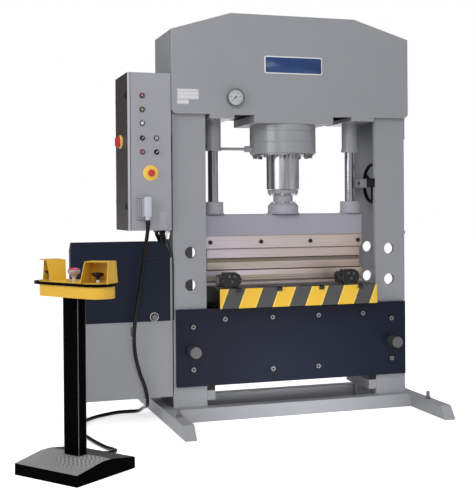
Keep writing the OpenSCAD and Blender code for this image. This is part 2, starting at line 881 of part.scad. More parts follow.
// The punch's section: a tang in the holder, a waist and a land that tapers to its edge
module punch() {
    half = punch_t / 2;
    waist = 12;
    tang = 9.5;
    tang_h = 22;
    z = punch_z;
    top = clamp_z;
    edge_h = die_groove - 4;
    color("tan") bar_yz(-tool_l / 2 + 12, tool_l / 2 - 12) polygon([[0, z - edge_h], [edge_h, z],
        [half, z + 4], [half, z + 48], [half - waist, z + 52], [half - waist, z + 70], [half, z + 74],
        [half, top], [tang, top], [tang, top + tang_h], [-tang, top + tang_h], [-tang, top],
        [-half, top], [-half, z + 74], [-half + waist, z + 70], [-half + waist, z + 52], [-half, z + 48],
        [-half, z + 4], [-edge_h, z]]);
}

// Screws of the tool holder, of the rod's collar and of the flange below it
module ram_fasteners() {
    head_d = 26;
    head_h = 6;
    screws = floor((tool_l / 2 - 20) / (clamp_pitch / 2));
    color("silver") {
        front_and_rear() both_sides()
            for (i = [1 : 2 : screws])
                translate([i * clamp_pitch / 2, clamp_d / 2, clamp_z + clamp_h / 2])
                    rotate([-90, 0, 0]) socket_head(head_d, head_h);
        for (i = [0 : collar_screws - 1])
            rotate([0, 0, (i + 0.5) * 360 / collar_screws]) {
                translate([flange_d / 2 - collar_screw_d / 2 - 6, 0, collar_z])
                    mirror([0, 0, 1]) socket_head(collar_screw_d, collar_screw_h);
                translate([flange_d / 2 - flange_cut - flange_screw_d / 2, 0, neck_z])
                    socket_head(flange_screw_d, flange_screw_h);
            }
    }
}

// ---- Handwheel ----

module handwheel() {
    hub_r = 26;
    hub_l = 34;
    rim_r = wheel_d / 2 - rim_d / 2;
    color("#1a1a1a") translate([wheel_x, 0, wheel_z]) rotate([0, 90, 0]) difference() {
        union() {
            rotate_extrude($fn = 72) translate([rim_r, 0]) circle(d = rim_d, $fn = 20);
            translate([0, 0, -hub_l / 2]) cylinder(h = hub_l, r = hub_r);
            for (i = [0 : spokes - 1])
                rotate([0, 0, i * 360 / spokes]) translate([0, -9, -6]) cube([rim_r, 18, 12]);
        }
        translate([0, 0, -hub_l]) cylinder(h = 2 * hub_l, d = shaft_d + 2 * slide_gap);
    }
}

module handwheel_shaft() {
    color("#2a2a2a")
        rod_x([bearing_x - shaft_end, 0, wheel_z], wheel_x + 22 - bearing_x + shaft_end, shaft_d / 2);
}

// The bearing of the handwheel's shaft, on a strip across the column's two plates
module shaft_bracket() {
    bearing_r = 28;
    color("#2a2a2a") difference() {
        union() {
            block([inner_x - bracket_t, -face_y, wheel_z - bracket_h / 2],
                [inner_x, face_y, wheel_z + bracket_h / 2]);
            rod_x([bearing_x, 0, wheel_z], inner_x - bearing_x, bearing_r);
        }
        rod_x([bearing_x - cut, 0, wheel_z], inner_x - bearing_x + 2 * cut, shaft_d / 2 + slide_gap);
    }
}

// ---- Gauge and pipe ----

module gauge_case() {
    rim = 5;
    dial_depth = 10;
    color("gainsboro") difference() {
        union() {
            rod_y([gauge_x, -head_y - gauge_d, gauge_z], gauge_d, gauge_r - 4);
            rod_y([gauge_x, -head_y - gauge_d, gauge_z], 12, gauge_r);
        }
        rod_y([gauge_x, -head_y - gauge_d - cut, gauge_z], dial_depth + cut, gauge_r - rim);
    }
}

// The needle turns on a spindle in front of the dial
module gauge_needle() {
    dial_y = -head_y - gauge_d + 10;
    color("black") translate([gauge_x, dial_y - 0.5, gauge_z]) rotate([90, 135, 0]) {
        cylinder(h = 3, r = 5, $fn = 32);
        linear_extrude(1.5) polygon([[-12, -2.5], [34, -0.8], [34, 0.8], [-12, 2.5]]);
    }
}

module hydraulic_pipe() {
    pipe_z = drum_z + 31;
    pipe_r = 9;
    start = -guide_x + sleeve_d / 2 + sleeve_lip + 0.5;
    end = -drum_d / 2;
    nut_l = 44;
    color("gray") {
        rod_x([start, 0, pipe_z], end - start, pipe_r, 32);
        difference() {
            rod_x([end - nut_l, 0, pipe_z], nut_l - 0.1, 19, 6);
            rod_x([end - nut_l - cut, 0, pipe_z], nut_l + 2 * cut, pipe_r, 32);
        }
    }
}

// ---- Electrical cabinet ----

// A switch's body: its bezel in front of the wall and its housing behind
module bezel(x, z) {
    rod_y([x, cabinet_front - bezel_t, z], bezel_t + sheet_t + seat_depth, bezel_d / 2);
}

// The blind seat of a switch's stem, from the front
module bezel_seat(x, z) {
    rod_y([x, cabinet_front - bezel_t - cut, z], bezel_t + seat_depth + cut, button_d / 2 + button_gap);
}

switch_seats = [[control_left_x, key_z], [control_left_x, row_z], [control_right_x, row_z],
    [control_left_x, low_row_z], [control_right_x, low_row_z]];

module hinge_knuckle(z, r_inner) {
    difference() {
        rod_z([hinge_x, hinge_y, z], hinge_l / 2 - 0.5, hinge_r, 32);
        rod_z([hinge_x, hinge_y, z - cut], hinge_l, r_inner, 32);
    }
}

hinge_z = [cabinet_z + 120, cabinet_z + cabinet_h - 180];

module cabinet_body() {
    wall = sheet_t;
    back = [cabinet_x, cabinet_rear, cabinet_top_z];
    color("silver") difference() {
        union() {
            difference() {
                block([door_x, cabinet_front, cabinet_z], back);
                block([door_x - cut, cabinet_front + wall, cabinet_z + wall],
                    back - [wall, wall, wall]);
            }
            for (p = switch_seats) bezel(p[0], p[1]);
            bezel(estop_x, estop_z);
            rod_y([estop_x, cabinet_front - estop_plate_t, estop_z], estop_plate_t + 1, estop_plate_d / 2);
            block([socket_x, cabinet_front - socket_t, plug_z - 10],
                [plug_low_x, cabinet_front + 1, plug_top_z]);
            for (z = hinge_z) {
                hinge_knuckle(z, hinge_pin_r + slide_gap);
                block([hinge_x, cabinet_rear - 0.5, z],
                    [hinge_x + 24, cabinet_rear + 3, z + hinge_l / 2 - 0.5]);
            }
        }
        for (p = switch_seats) bezel_seat(p[0], p[1]);
        bezel_seat(estop_x, estop_z);
        for (z = hinge_z)
            rod_z([hinge_x, hinge_y, z - cut], hinge_l, hinge_pin_r + slide_gap, 32);
    }
}

// The door, a shallow pan hinged at the rear edge, with the lock bores and the switch's plate
module cabinet_door() {
    seam = 0.5;
    color("#3a3f4a") difference() {
        union() {
            block([door_x - door_t, cabinet_front, cabinet_z], [door_x - seam, cabinet_rear, cabinet_top_z]);
            rod_x([door_x - door_t - switch_plate_t, switch_y, switch_z], switch_plate_t + 1, switch_plate_r);
            for (z = hinge_z) {
                rod_z([hinge_x, hinge_y, z + hinge_l / 2], hinge_l / 2, hinge_r, 32);
                rod_z([hinge_x, hinge_y, z + 6], hinge_l / 2, hinge_pin_r, 32);
                block([hinge_x - door_t, cabinet_rear - 0.5, z + hinge_l / 2],
                    [hinge_x - 1, cabinet_rear + 4, z + hinge_l]);
            }
        }
        for (z = lock_z)
            rod_x([door_x - door_t - cut, lock_y, z], door_t + 2 * cut, lock_r + button_gap);
        rod_x([door_x - door_t - switch_plate_t - cut, switch_y, switch_z],
            door_t + switch_plate_t + 2 * cut, lock_r + button_gap);
    }
}

lock_z = [cabinet_top_z - 132, cabinet_z + 137];

// A quarter-turn lock: a slotted head outside, a stem through the door and a cam inside
module door_lock(z) {
    head_r = 13;
    head_t = 6;
    cam_t = 3;
    color("gainsboro") translate([door_x - door_t, lock_y, z]) {
        difference() {
            rod_x([-head_t - 0.2, 0, 0], head_t, head_r);
            translate([-head_t - 0.2 - cut, -2, -9]) cube([3 + cut, 4, 18]);
        }
        rod_x([-0.3, 0, 0], door_t + 1, lock_r);
        translate([door_t + 0.5, -10, -32]) cube([cam_t, 20, 42]);
    }
}

module door_lock_top() {
    door_lock(lock_z[0]);
}

module door_lock_bottom() {
    door_lock(lock_z[1]);
}

// The main switch's handle: a round base and a grip bar, on a spindle through the door
module main_switch() {
    face_x = door_x - door_t - switch_plate_t - button_gap;
    base_t = 12;
    base_r = 24;
    grip_w = 14;
    color("firebrick") {
        rod_x([face_x - base_t, switch_y, switch_z], base_t, base_r);
        block([face_x - switch_rise, switch_y - grip_w / 2, switch_z - base_r],
            [face_x - base_t, switch_y + grip_w / 2, switch_z + base_r]);
        rod_x([face_x, switch_y, switch_z], door_t + switch_plate_t + 8, lock_r);
    }
}

// Switchgear inside the cabinet: a mounting plate with rails and plain devices
module switchgear_plate() {
    plate_x = cabinet_x - 20;
    low_z = cabinet_z + 60;
    high_z = cabinet_top_z - 60;
    device_w = 45;
    device_d = 78;
    rail_h = 35;
    color("lightgray") {
        block([plate_x - 3, cabinet_front + 40, low_z], [plate_x, cabinet_rear - 30, high_z]);
        for (y = [cabinet_front + 60, cabinet_rear - 60])
            for (z = [low_z + 30, high_z - 30])
                rod_x([plate_x - 1, y, z], cabinet_x - sheet_t - plate_x + 1, 6);
        for (row = [0 : 2]) {
            row_z_low = low_z + 90 + row * 240;
            block([plate_x - 10, cabinet_front + 60, row_z_low + 30],
                [plate_x - 2, cabinet_rear - 50, row_z_low + 30 + rail_h]);
            for (i = [0 : 4]) {
                device_y = cabinet_front + 70 + i * (device_w + 4);
                block([plate_x - device_d, device_y, row_z_low],
                    [plate_x - 9, device_y + device_w, row_z_low + 95]);
            }
        }
    }
}

// Two lamps with domed lenses on their collars
module indicator_lamps() {
    color("crimson") for (z = lamp_z)
        translate([control_left_x, cabinet_front, z]) rotate([90, 0, 0]) rotate_extrude()
            polygon([[0, 0], [15, 0], [15, 4], [11.5, 4], [11.5, 9], [9, 13], [5, 15], [0, 16]]);
}

// A push button: a cap that stands out of its bezel, on a stem
module push_button(x, z) {
    rod_y([x, cabinet_front - bezel_t - 9, z], 9 + bezel_t + 3, button_d / 2);
}

module start_button() {
    color("#202020") push_button(control_right_x, row_z);
}

module stop_button() {
    color("red") push_button(control_left_x, low_row_z);
}

// A selector: a round stem with a grip bar across it
module selector(x, z) {
    front = cabinet_front - bezel_t;
    rod_y([x, front - 5, z], 5 + bezel_t + 3, button_d / 2);
    block([x - 4, front - 18, z - 12], [x + 4, front - 5, z + 12]);
}

module mode_selector() {
    color("#202020") selector(control_left_x, row_z);
}

module motor_selector() {
    color("#202020") selector(control_right_x, low_row_z);
}

// The key switch's barrel with its key standing out
module key_switch() {
    front = cabinet_front - bezel_t;
    color("gainsboro") {
        rod_y([control_left_x, front - 4, key_z], 4 + bezel_t + 3, button_d / 2);
        block([control_left_x - 1.2, front - 22, key_z - 5], [control_left_x + 1.2, front - 4, key_z + 5]);
        block([control_left_x - 1.5, front - 40, key_z - 12], [control_left_x + 1.5, front - 22, key_z + 12]);
    }
}

// A mushroom head on a stem, axis along Z, with the head's top at z = 0
module mushroom(d, head_h, stem_l, stem) {
    r = d / 2;
    rotate_extrude() polygon([[0, -head_h - stem_l], [stem, -head_h - stem_l], [stem, -head_h],
        [r * 0.72, -head_h], [r, -head_h * 0.55], [r * 0.97, -head_h * 0.3], [r * 0.7, -head_h * 0.08],
        [0, 0]]);
}

module cabinet_estop() {
    rise = 34;
    color("red") translate([estop_x, cabinet_front - rise, estop_z]) rotate([90, 0, 0])
        mushroom(estop_d, 18, rise - 18 + sheet_t, button_d / 2);
}

// Bars that carry the cabinet and the power unit on the left column, and the strip along the
// power unit's right edge
module mounting_bars() {
    half = face_y - 22;
    bar_h = 40;
    strip_lap = 5;
    strip_w = 11;
    strip_t = 3;
    cabinet_bar_z = [cabinet_z + 80, cabinet_z + 240];
    unit_bar_z = [tank_z + 105, hatch_top_z - 60];
    head_bar_z = cabinet_top_z - 130;
    head_half = end_plate_d / 2 - 10;
    color("gray") {
        for (z = cabinet_bar_z)
            block([cabinet_x, -half, z], [-outer_x, half - 10, z + bar_h]);
        block([cabinet_x, -head_half, head_bar_z], [-head_x, head_half, head_bar_z + bar_h]);
        for (z = unit_bar_z)
            block([unit_x, -half, z], [-outer_x, half, z + bar_h]);
        block([unit_x - strip_lap, unit_front - strip_t, tank_z],
            [unit_x - strip_lap + strip_w, unit_front, hatch_top_z]);
    }
}

// ---- Power unit ----

// The oil tank with its lid and level gauge; on the lid stand the motor and the valve block,
// which the cover screens at the front
module oil_tank() {
    lid_lap = 1.5;
    gauge_left = unit_x - 248;
    gauge_top = tank_top_z - 10;
    gauge_size = [18, 88];
    gauge_rise = 6;
    color("silver") {
        block([unit_left, unit_front, tank_z], [unit_x, unit_front + unit_d, tank_top_z]);
        block([unit_left, unit_front - lid_lap, tank_top_z - lid_t], [unit_x - 6, unit_front, tank_top_z]);
        block([gauge_left, unit_front - gauge_rise, gauge_top - gauge_size[1]],
            [gauge_left + gauge_size[0], unit_front, gauge_top]);
        motor();
        valve_block();
    }
}

// The motor stands on its bell housing, with cooling fins, a fan cowl and a terminal box
module motor() {
    place = [unit_left + 234, unit_front + 182, tank_top_z];
    bell_h = 70;
    bell_r = motor_d / 2 - 24;
    flange_t = 14;
    cowl_h = 75;
    cowl_round = 8;
    fins = 24;
    fin_t = 3;
    fin_w = 12;
    r = motor_d / 2;
    box = [60, 90, 100];
    fins_h = motor_h - bell_h - cowl_h;
    cowl_z = bell_h + fins_h;
    translate(place) {
        rotate_extrude() polygon([[0, 0], [r, 0], [r, flange_t], [bell_r, flange_t],
            [bell_r, bell_h - flange_t], [r, bell_h - flange_t], [r, bell_h], [r - fin_w, bell_h],
            [r - fin_w, cowl_z], [r, cowl_z], [r, motor_h - cowl_round], [r - cowl_round, motor_h],
            [0, motor_h]]);
        for (i = [0 : fins - 1])
            rotate([0, 0, i * 360 / fins]) translate([r - fin_w - cut, -fin_t / 2, bell_h - cut])
                cube([fin_w + cut, fin_t, fins_h + 2 * cut]);
        translate([r - fin_w - cut, -box[1] / 2, bell_h + (fins_h - box[2]) / 2]) cube(box);
    }
}

// The valve block, with a solenoid valve on its rear face, under the conduits
module valve_block() {
    low = [unit_x - 92, unit_front + 50, tank_top_z];
    size = [78, 92, valve_h];
    coil_r = 24;
    coil_l = 60;
    block(low, low + size);
    for (z = [0.3, 0.7])
        rod_y([low[0] + size[0] / 2, low[1] + size[1], low[2] + valve_h * z], coil_l, coil_r, 32);
}

// The cover's form, made smaller by a margin, which runs past its open foot and rear. Its top corner
// towards the press is round, and its top falls towards the rear
module cover_form(margin, past) {
    left = unit_left + margin;
    top = unit_top_z - margin;
    rear = unit_front + cover_d + past;
    foot_z = tank_top_z - past;
    corner = [unit_x - unit_r, unit_top_z - unit_r];
    intersection() {
        wall_xz(unit_front + margin, rear) union() {
            translate([left, foot_z]) square([unit_x - margin - left, corner[1] - foot_z]);
            translate([left, foot_z]) square([corner[0] - left, top - foot_z]);
            translate(corner) circle(r = unit_r - margin, $fn = 96);
        }
        bar_yz(unit_left - cut, unit_x + cut) polygon([[unit_front, foot_z], [unit_front, top],
            [rear, top - cover_fall * (rear - unit_front) / cover_d], [rear, foot_z]]);
    }
}

// The cover, a folded sheet in front of the motor, with a hatch at its right end and a round lock
module power_unit_cover() {
    lock_x = unit_x - 103;
    lock_z = tank_top_z + 27;
    lock_rise = 7;
    lock_outer_r = 26;
    lock_cup_r = 21;
    lock_knob_r = 12;
    seam = 2;
    color("#2b3040") {
        difference() {
            union() {
                cover_form(0, 0);
                rod_y([lock_x, unit_front - lock_rise, lock_z], lock_rise + 1, lock_outer_r);
            }
            cover_form(cover_sheet, cut);
            block([unit_x - hatch_l, unit_front - cut, hatch_top_z - seam],
                [unit_x + cut, unit_front + cover_sheet / 3, hatch_top_z]);
            rod_y([lock_x, unit_front - lock_rise - cut, lock_z], lock_rise, lock_cup_r);
        }
        rod_y([lock_x, unit_front - lock_rise + 2, lock_z], lock_rise - 1, lock_knob_r);
    }
}

// The conduits' places from the power unit's right end: under the cabinet, at the bend, and down
conduit_top = [[-60, -62], [-38, -84], [-17, -60]];
conduit_bend = [[-41, -58], [-26, -82], [-14, -56]];
conduit_mid = [[-44, -55], [-28, -80], [-16, -54]];
conduit_low = [[-56, -54], [-36, -80], [-24, -54]];

function by_unit(place, z) = [unit_x + place[0], place[1], z];

// Conduits from a plate under the cabinet down behind the cover, and the cable beside the column
module conduits() {
    conduit_r = 12;
    plate_t = 12;
    plate_low = [unit_x - 76, -102];
    plate_high = [cabinet_x - 2, -42];
    top_z = cabinet_z - seat_gap;
    low_z = top_z - plate_t;
    hex_h = 22;
    cone_h = 28;
    cable_r = 4;
    gland = [cabinet_x - 14, unit_front];
    gland_end_z = top_z - hex_h - cone_h;
    cable_x = -outer_x - 2;
    cable_y = -face_y - cable_r - seat_gap;
    color("#1c1c1c") {
        block([plate_low[0], plate_low[1], low_z], [plate_high[0], plate_high[1], top_z]);
        for (i = [0 : 2])
            tube_along([by_unit(conduit_top[i], low_z + plate_t / 4), by_unit(conduit_top[i], low_z - 14),
                by_unit(conduit_bend[i], unit_top_z - 8), by_unit(conduit_mid[i], unit_top_z - 78),
                by_unit(conduit_low[i], unit_top_z - 178), by_unit(conduit_low[i], valve_top_z + seat_gap)],
                conduit_r, 12, 2);
        translate([gland[0], gland[1], top_z]) mirror([0, 0, 1]) {
            cylinder(h = hex_h, r = 13, $fn = 6);
            translate([0, 0, hex_h - cut]) cylinder(h = cone_h + cut, r1 = 11, r2 = cable_r + 1, $fn = 32);
        }
        tube_along([[gland[0], gland[1], gland_end_z + 3], [gland[0] + 1, gland[1] - 1, unit_top_z - 13],
            [gland[0] + 12, gland[1] - 7, unit_top_z - 48], [cable_x - 5, cable_y, unit_top_z - 83],
            [cable_x, cable_y, unit_top_z - 118], [cable_x, cable_y, (unit_top_z + tank_top_z) / 2],
            [cable_x, cable_y, tank_top_z + 5]], cable_r, 8, 2);
    }
}

// ---- Plug, pedestal and cord ----

// The hood of the plug with its tapered exit
module connector_plug() {
    neck_l = 18;
    color("gray") {
        bar_yz(plug_low_x, plug_high_x) polygon([[cabinet_front, plug_z + 14], [plug_front, plug_z],
            [plug_front, plug_top_z - 20], [plug_front + 20, plug_top_z], [cabinet_front, plug_top_z]]);
        translate([cord_route[0][0], cord_route[0][1], cord_route[0][2]])
            cylinder(h = neck_l + 8, r1 = cord_r + 3, r2 = cord_r + 7, $fn = 32);
    }
}

// Moves its children to the pedestal, turned about its upright axis
module at_pedestal(turn) {
    translate([pedestal_x, pedestal_y, 0]) rotate([0, 0, turn]) children();
}

module pedestal_base() {
    half = base_side / 2;
    color("#222222") at_pedestal(base_turn) difference() {
        wall_xz(-half, half) polygon([[-half, 0], [half, 0], [half, base_edge_h],
            [post_flat, base_crest_h], [-post_flat, base_crest_h], [-half, base_edge_h]]);
        rod_x([half - gland_stub_l, gland_y, gland_h], gland_stub_l + cut, gland_stub_r + slide_gap);
    }
}

module pedestal_column() {
    wall = 3;
    color("#1a1a1a") at_pedestal(base_turn) difference() {
        block([-post_d / 2, -post_w / 2, base_crest_h], [post_d / 2, post_w / 2, tray_z]);
        block([-post_d / 2 + wall, -post_w / 2 + wall, base_crest_h - cut],
            [post_d / 2 - wall, post_w / 2 - wall, tray_z + cut]);
    }
}

// The tray's outline, with round ends: grown by a margin, and longer at its left end
module tray_outline(grow, left_lap = 0) {
    end_y = tray_l / 2 - tray_d / 2;
    ends = [-end_y + tray_shift, end_y + tray_shift + left_lap];
    for (y = ends) translate([0, y]) circle(d = tray_d + 2 * grow);
    translate([-tray_d / 2 - grow, ends[0]]) square([tray_d + 2 * grow, ends[1] - ends[0]]);
}

module tray_seats(z, h) {
    for (side = [-1, 1]) rod_z([0, side * palm_y, z], h, stem_r + button_gap);
    rod_z([0, 0, z], h, stem_r + button_gap);
}

module control_tray() {
    color("gold") at_pedestal(tray_turn) difference() {
        translate([0, 0, tray_z]) linear_extrude(tray_h) tray_outline(0);
        tray_seats(edge_z - 25, 25 + cut);
    }
}

module tray_bead() {
    color("#161616") at_pedestal(tray_turn) difference() {
        translate([0, 0, edge_z]) linear_extrude(edge_t) tray_outline(edge_lap, edge_left_lap);
        tray_seats(edge_z - cut, edge_t + 2 * cut);
    }
}

// A hood: a sheet roof with a back and two flared side walls, open to the front. Each wall's front
// edge is given as how far it stands forward of the roof, at its foot and at its top
module hood(near_edge, far_edge) {
    half = hood_w / 2;
    z = plate_z;
    roof_z = z + hood_h - plate_t;
    difference() {
        bar_yz(-hood_d, hood_d / 2) polygon([[-half - hood_flare, z], [half + hood_flare, z],
            [half, z + hood_h], [-half, z + hood_h]]);
        bar_yz(-hood_d - cut, hood_d / 2 - plate_t) polygon([[plate_t - half - hood_flare, z - cut],
            [half + hood_flare - plate_t, z - cut], [half - plate_t, roof_z], [plate_t - half, roof_z]]);
        block([-hood_d - cut, -hood_w, roof_z], [-hood_d / 2, hood_w, roof_z + hood_h]);
        for (wall = [[1, near_edge], [0, far_edge]])
            mirror([0, wall[0], 0]) wall_xz(0, hood_w) polygon([[-hood_d - cut, z - cut],
                [-hood_d / 2 - wall[1][0], z - cut], [-hood_d / 2 - wall[1][1], roof_z],
                [-hood_d - cut, roof_z]]);
    }
}

module place_hood(side) {
    translate([0, side * (palm_y + hood_shift), 0]) rotate([0, 0, -side * hood_turn])
        translate([hood_set, 0, 0]) children();
}

module control_hoods() {
    color("gold") at_pedestal(tray_turn) {
        difference() {
            union() {
                translate([0, 0, plate_z]) linear_extrude(plate_t) tray_outline(edge_lap - 5);
                place_hood(1) hood(left_hood_edges[0], left_hood_edges[1]);
                place_hood(-1) hood(right_hood_edges[0], right_hood_edges[1]);
            }
            tray_seats(plate_z - cut, plate_t + 2 * cut);
        }
    }
}

module palm_button(side) {
    head_h = 20;
    color("#1a1a1a") at_pedestal(tray_turn) translate([0, side * palm_y, palm_z + 8])
        mushroom(palm_d, head_h, palm_z + 8 - head_h - edge_z + 15, stem_r);
}

module palm_button_left() {
    palm_button(1);
}

module palm_button_right() {
    palm_button(-1);
}

module pedestal_estop() {
    top_z = 972;
    head_h = 22;
    color("red") at_pedestal(tray_turn) translate([0, 0, top_z])
        mushroom(53, head_h, top_z - head_h - edge_z + 15, stem_r);
}

// The gland in the base's rear edge: a threaded stub, a hexagon and a tapered cone
module cord_gland() {
    color("dimgray") at_pedestal(base_turn) translate([base_side / 2, gland_y, gland_h]) {
        rod_x([-gland_stub_l, 0, 0], gland_stub_l, gland_stub_r);
        rod_x([0, 0, 0], gland_hex_l, 19, 6);
        translate([gland_hex_l, 0, 0]) rotate([0, 90, 0])
            cylinder(h = gland_l - gland_hex_l, r1 = cord_r + 6, r2 = cord_r + 2, $fn = 32);
    }
}

module cord() {
    color("#161616") tube_along(cord_route, cord_r, cord_sides, cord_steps);
}

base_frame();
uprights();
head_front_plate();
head_rear_plate();
head_covers();
cylinder_slab();
guide_housings();
cylinder_barrel();
cylinder_gland();
table_front_plate();
table_rear_plate();
table_spacers();
table_pins();
frame_fasteners();
die_holder();
die();
holder_clamps();
stop_knob_left();
stop_knob_right();
ram_beam();
piston_rod();
rod_collar();
guide_rods();
tool_holder();
punch();
ram_fasteners();
handwheel();
handwheel_shaft();
shaft_bracket();
gauge_case();
gauge_needle();
hydraulic_pipe();
cabinet_body();
cabinet_door();
door_lock_top();
door_lock_bottom();
main_switch();
switchgear_plate();
indicator_lamps();
start_button();
stop_button();
mode_selector();
motor_selector();
key_switch();
cabinet_estop();
mounting_bars();
oil_tank();
power_unit_cover();
conduits();
connector_plug();
pedestal_base();
pedestal_column();
control_tray();
control_hoods();
tray_bead();
palm_button_left();
palm_button_right();
pedestal_estop();
cord();
cord_gland();
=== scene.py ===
import math

import bmesh
import bpy
from mathutils import Matrix, Vector


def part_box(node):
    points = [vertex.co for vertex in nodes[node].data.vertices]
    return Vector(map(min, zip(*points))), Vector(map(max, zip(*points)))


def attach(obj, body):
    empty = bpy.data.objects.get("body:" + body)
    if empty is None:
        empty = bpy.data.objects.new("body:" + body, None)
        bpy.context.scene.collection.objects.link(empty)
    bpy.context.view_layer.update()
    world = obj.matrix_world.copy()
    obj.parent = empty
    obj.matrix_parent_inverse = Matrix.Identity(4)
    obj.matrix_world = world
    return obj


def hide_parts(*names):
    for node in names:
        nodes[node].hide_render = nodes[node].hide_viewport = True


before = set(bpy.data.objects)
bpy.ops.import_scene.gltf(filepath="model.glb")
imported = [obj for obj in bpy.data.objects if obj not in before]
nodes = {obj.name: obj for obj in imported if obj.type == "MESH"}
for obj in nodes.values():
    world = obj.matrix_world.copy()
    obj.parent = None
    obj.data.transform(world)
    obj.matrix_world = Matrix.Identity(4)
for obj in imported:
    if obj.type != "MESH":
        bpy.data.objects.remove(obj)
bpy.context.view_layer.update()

# ------------------------ camera
# A long lens at head height, a few steps in front of the press and to its left,
# so that the cabinet and the pedestal stand in front of the frame.
EYE = Vector((-2.126, -5.736, 1.261))
YAW, PITCH, ROLL = math.radians(17.7), math.radians(-0.39), math.radians(0.42)


def add_object(name, data):
    """An object in the scene."""
    thing = bpy.data.objects.new(name, data)
    bpy.context.scene.collection.objects.link(thing)
    return thing


camera = add_object("camera", bpy.data.cameras.new("camera"))
lens = camera.data
lens.sensor_fit, lens.sensor_width, lens.lens, lens.shift_y = "HORIZONTAL", 36, 74.02, -0.0837
lens.clip_start, lens.clip_end = 0.1, 60
camera.matrix_world = (Matrix.Translation(EYE) @ Matrix.Rotation(-YAW, 4, "Z")
    @ Matrix.Rotation(math.radians(90) + PITCH, 4, "X") @ Matrix.Rotation(-ROLL, 4, "Z"))
bpy.context.scene.camera = camera
bpy.context.scene.view_settings.view_transform = "Standard"


# ------------------------ cord
# The rubber-sheathed control cord: out of the plug under the cabinet, down in front of
# the oil tank, under it, and over the floor into the gland of the pedestal's base.
CORD_R, CORD_STEPS = 0.011, 6
CORD_ROUTE = [(-0.916, -0.25, 1.18), (-0.916, -0.25, 1.14), (-0.925, -0.251, 1.07),
    (-0.943, -0.249, 0.95), (-0.96, -0.246, 0.83), (-0.977, -0.241, 0.715), (-0.991, -0.232, 0.61),
    (-0.996, -0.221, 0.5), (-0.986, -0.211, 0.4), (-0.96, -0.203, 0.3), (-0.932, -0.198, 0.225),
    (-0.917, -0.19, 0.165), (-0.909, -0.16, 0.108), (-0.905, -0.105, 0.085), (-0.902, -0.04, 0.07),
    (-0.902, 0.03, 0.046), (-0.912, 0.092, 0.022), (-0.95, 0.138, 0.012), (-1.02, 0.138, 0.012),
    (-1.1, 0.1, 0.012), (-1.18, 0.045, 0.012), (-1.25, -0.04, 0.012), (-1.298, -0.16, 0.012),
    (-1.316, -0.29, 0.012), (-1.306, -0.42, 0.012), (-1.286, -0.54, 0.012), (-1.263, -0.64, 0.012),
    (-1.243, -0.715, 0.013), (-1.224, -0.778, 0.018), (-1.221, -0.832, 0.024), (-1.246, -0.874, 0.029),
    (-1.273, -0.895, 0.03)]


def smooth_path(points, steps):
    """A smooth curve through the points, as a list of vectors."""
    points = [Vector(p) for p in points]
    path = []
    for i in range(len(points) - 1):
        a, b = points[max(i - 1, 0)], points[i]
        c, d = points[i + 1], points[min(i + 2, len(points) - 1)]
        for s in range(steps):
            t = s / steps
            path.append(0.5 * (2 * b + (c - a) * t + (2 * a - 5 * b + 4 * c - d) * t**2
                + (3 * b - a - 3 * c + d) * t**3))
    return path + [points[-1]]


def merge(*shells):
    """Several shells, each (vertices, faces), as one."""
    vertices, faces = [], []
    for points, sides in shells:
        faces += [tuple(k + len(vertices) for k in side) for side in sides]
        vertices += points
    return vertices, faces


def add_mesh(name, shell, bevel=0.0, crease=35):
    """A mesh object; edges sharper than crease degrees stay sharp or are bevelled."""
    mesh = bpy.data.meshes.new(name)
    mesh.from_pydata([tuple(v) for v in shell[0]], [], shell[1])
    work = bmesh.new()
    work.from_mesh(mesh)
    bmesh.ops.recalc_face_normals(work, faces=work.faces)
    if bevel:
        sharp = [edge for edge in work.edges
            if len(edge.link_faces) == 2 and edge.calc_face_angle() > math.radians(crease)]
        bmesh.ops.bevel(work, geom=sharp, offset=bevel, segments=2, profile=0.5, affect="EDGES",
            clamp_overlap=True)
    work.to_mesh(mesh)
    work.free()
    mesh.polygons.foreach_set("use_smooth", [True] * len(mesh.polygons))
    mesh.set_sharp_from_angle(angle=math.radians(crease))
    return add_object(name, mesh)


def tube(path, radius, sides=16):
    """A round tube along a path, closed at both ends; radius is a function of the length."""
    last = len(path) - 1
    tangents = [(path[min(i + 1, last)] - path[max(i - 1, 0)]).normalized() for i in range(last + 1)]
    across = tangents[0].orthogonal().normalized()
    vertices, length = [], 0.0
    for i, point in enumerate(path):
        across = (across - tangents[i] * across.dot(tangents[i])).normalized()
        upward = tangents[i].cross(across)
        if i:
            length += (point - path[i - 1]).length
        for k in range(sides):
            turn = 2 * math.pi * k / sides
            vertices.append(point + radius(length) * (across * math.cos(turn) + upward * math.sin(turn)))
    faces = [(i * sides + k, (i + 1) * sides + k, (i + 1) * sides + (k + 1) % sides,
        i * sides + (k + 1) % sides) for i in range(last) for k in range(sides)]
    faces += [tuple(range(sides))[::-1], tuple(last * sides + k for k in range(sides))]
    return vertices, faces


class Term:
    """A value in a shader tree that can stand in a formula, such as (x - 0.5) * tone."""

    def __init__(self, socket):
        self.socket, self.tree = socket, socket.id_data

    def math(self, operation, other=0.0):
        """The output of a Math node on this value and another."""
        return term(self.tree, "Math", 0, {0: self, 1: other}, operation=operation)

    def part(self, axis):
        """The X, Y or Z of a vector."""
        return term(self.tree, "SeparateXYZ", axis, {0: self})

    def remap(self, low, high, to_low=0.0, to_high=1.0):
        """The value moved from one range to another and kept within it."""
        return term(self.tree, "MapRange", 0, {0: self, 1: low, 2: high, 3: to_low, 4: to_high})

    def clamped(self):
        """The same value, kept within 0 and 1."""
        self.socket.node.use_clamp = True
        return self

    def __add__(self, other):
        return self.math("ADD", other)

    def __mul__(self, other):
        return self.math("MULTIPLY", other)

    def __sub__(self, other):
        return self.math("SUBTRACT", other)

    def __lt__(self, other):
        return self.math("LESS_THAN", other)

    def __gt__(self, other):
        return self.math("GREATER_THAN", other)

    __radd__, __rmul__ = __add__, __mul__


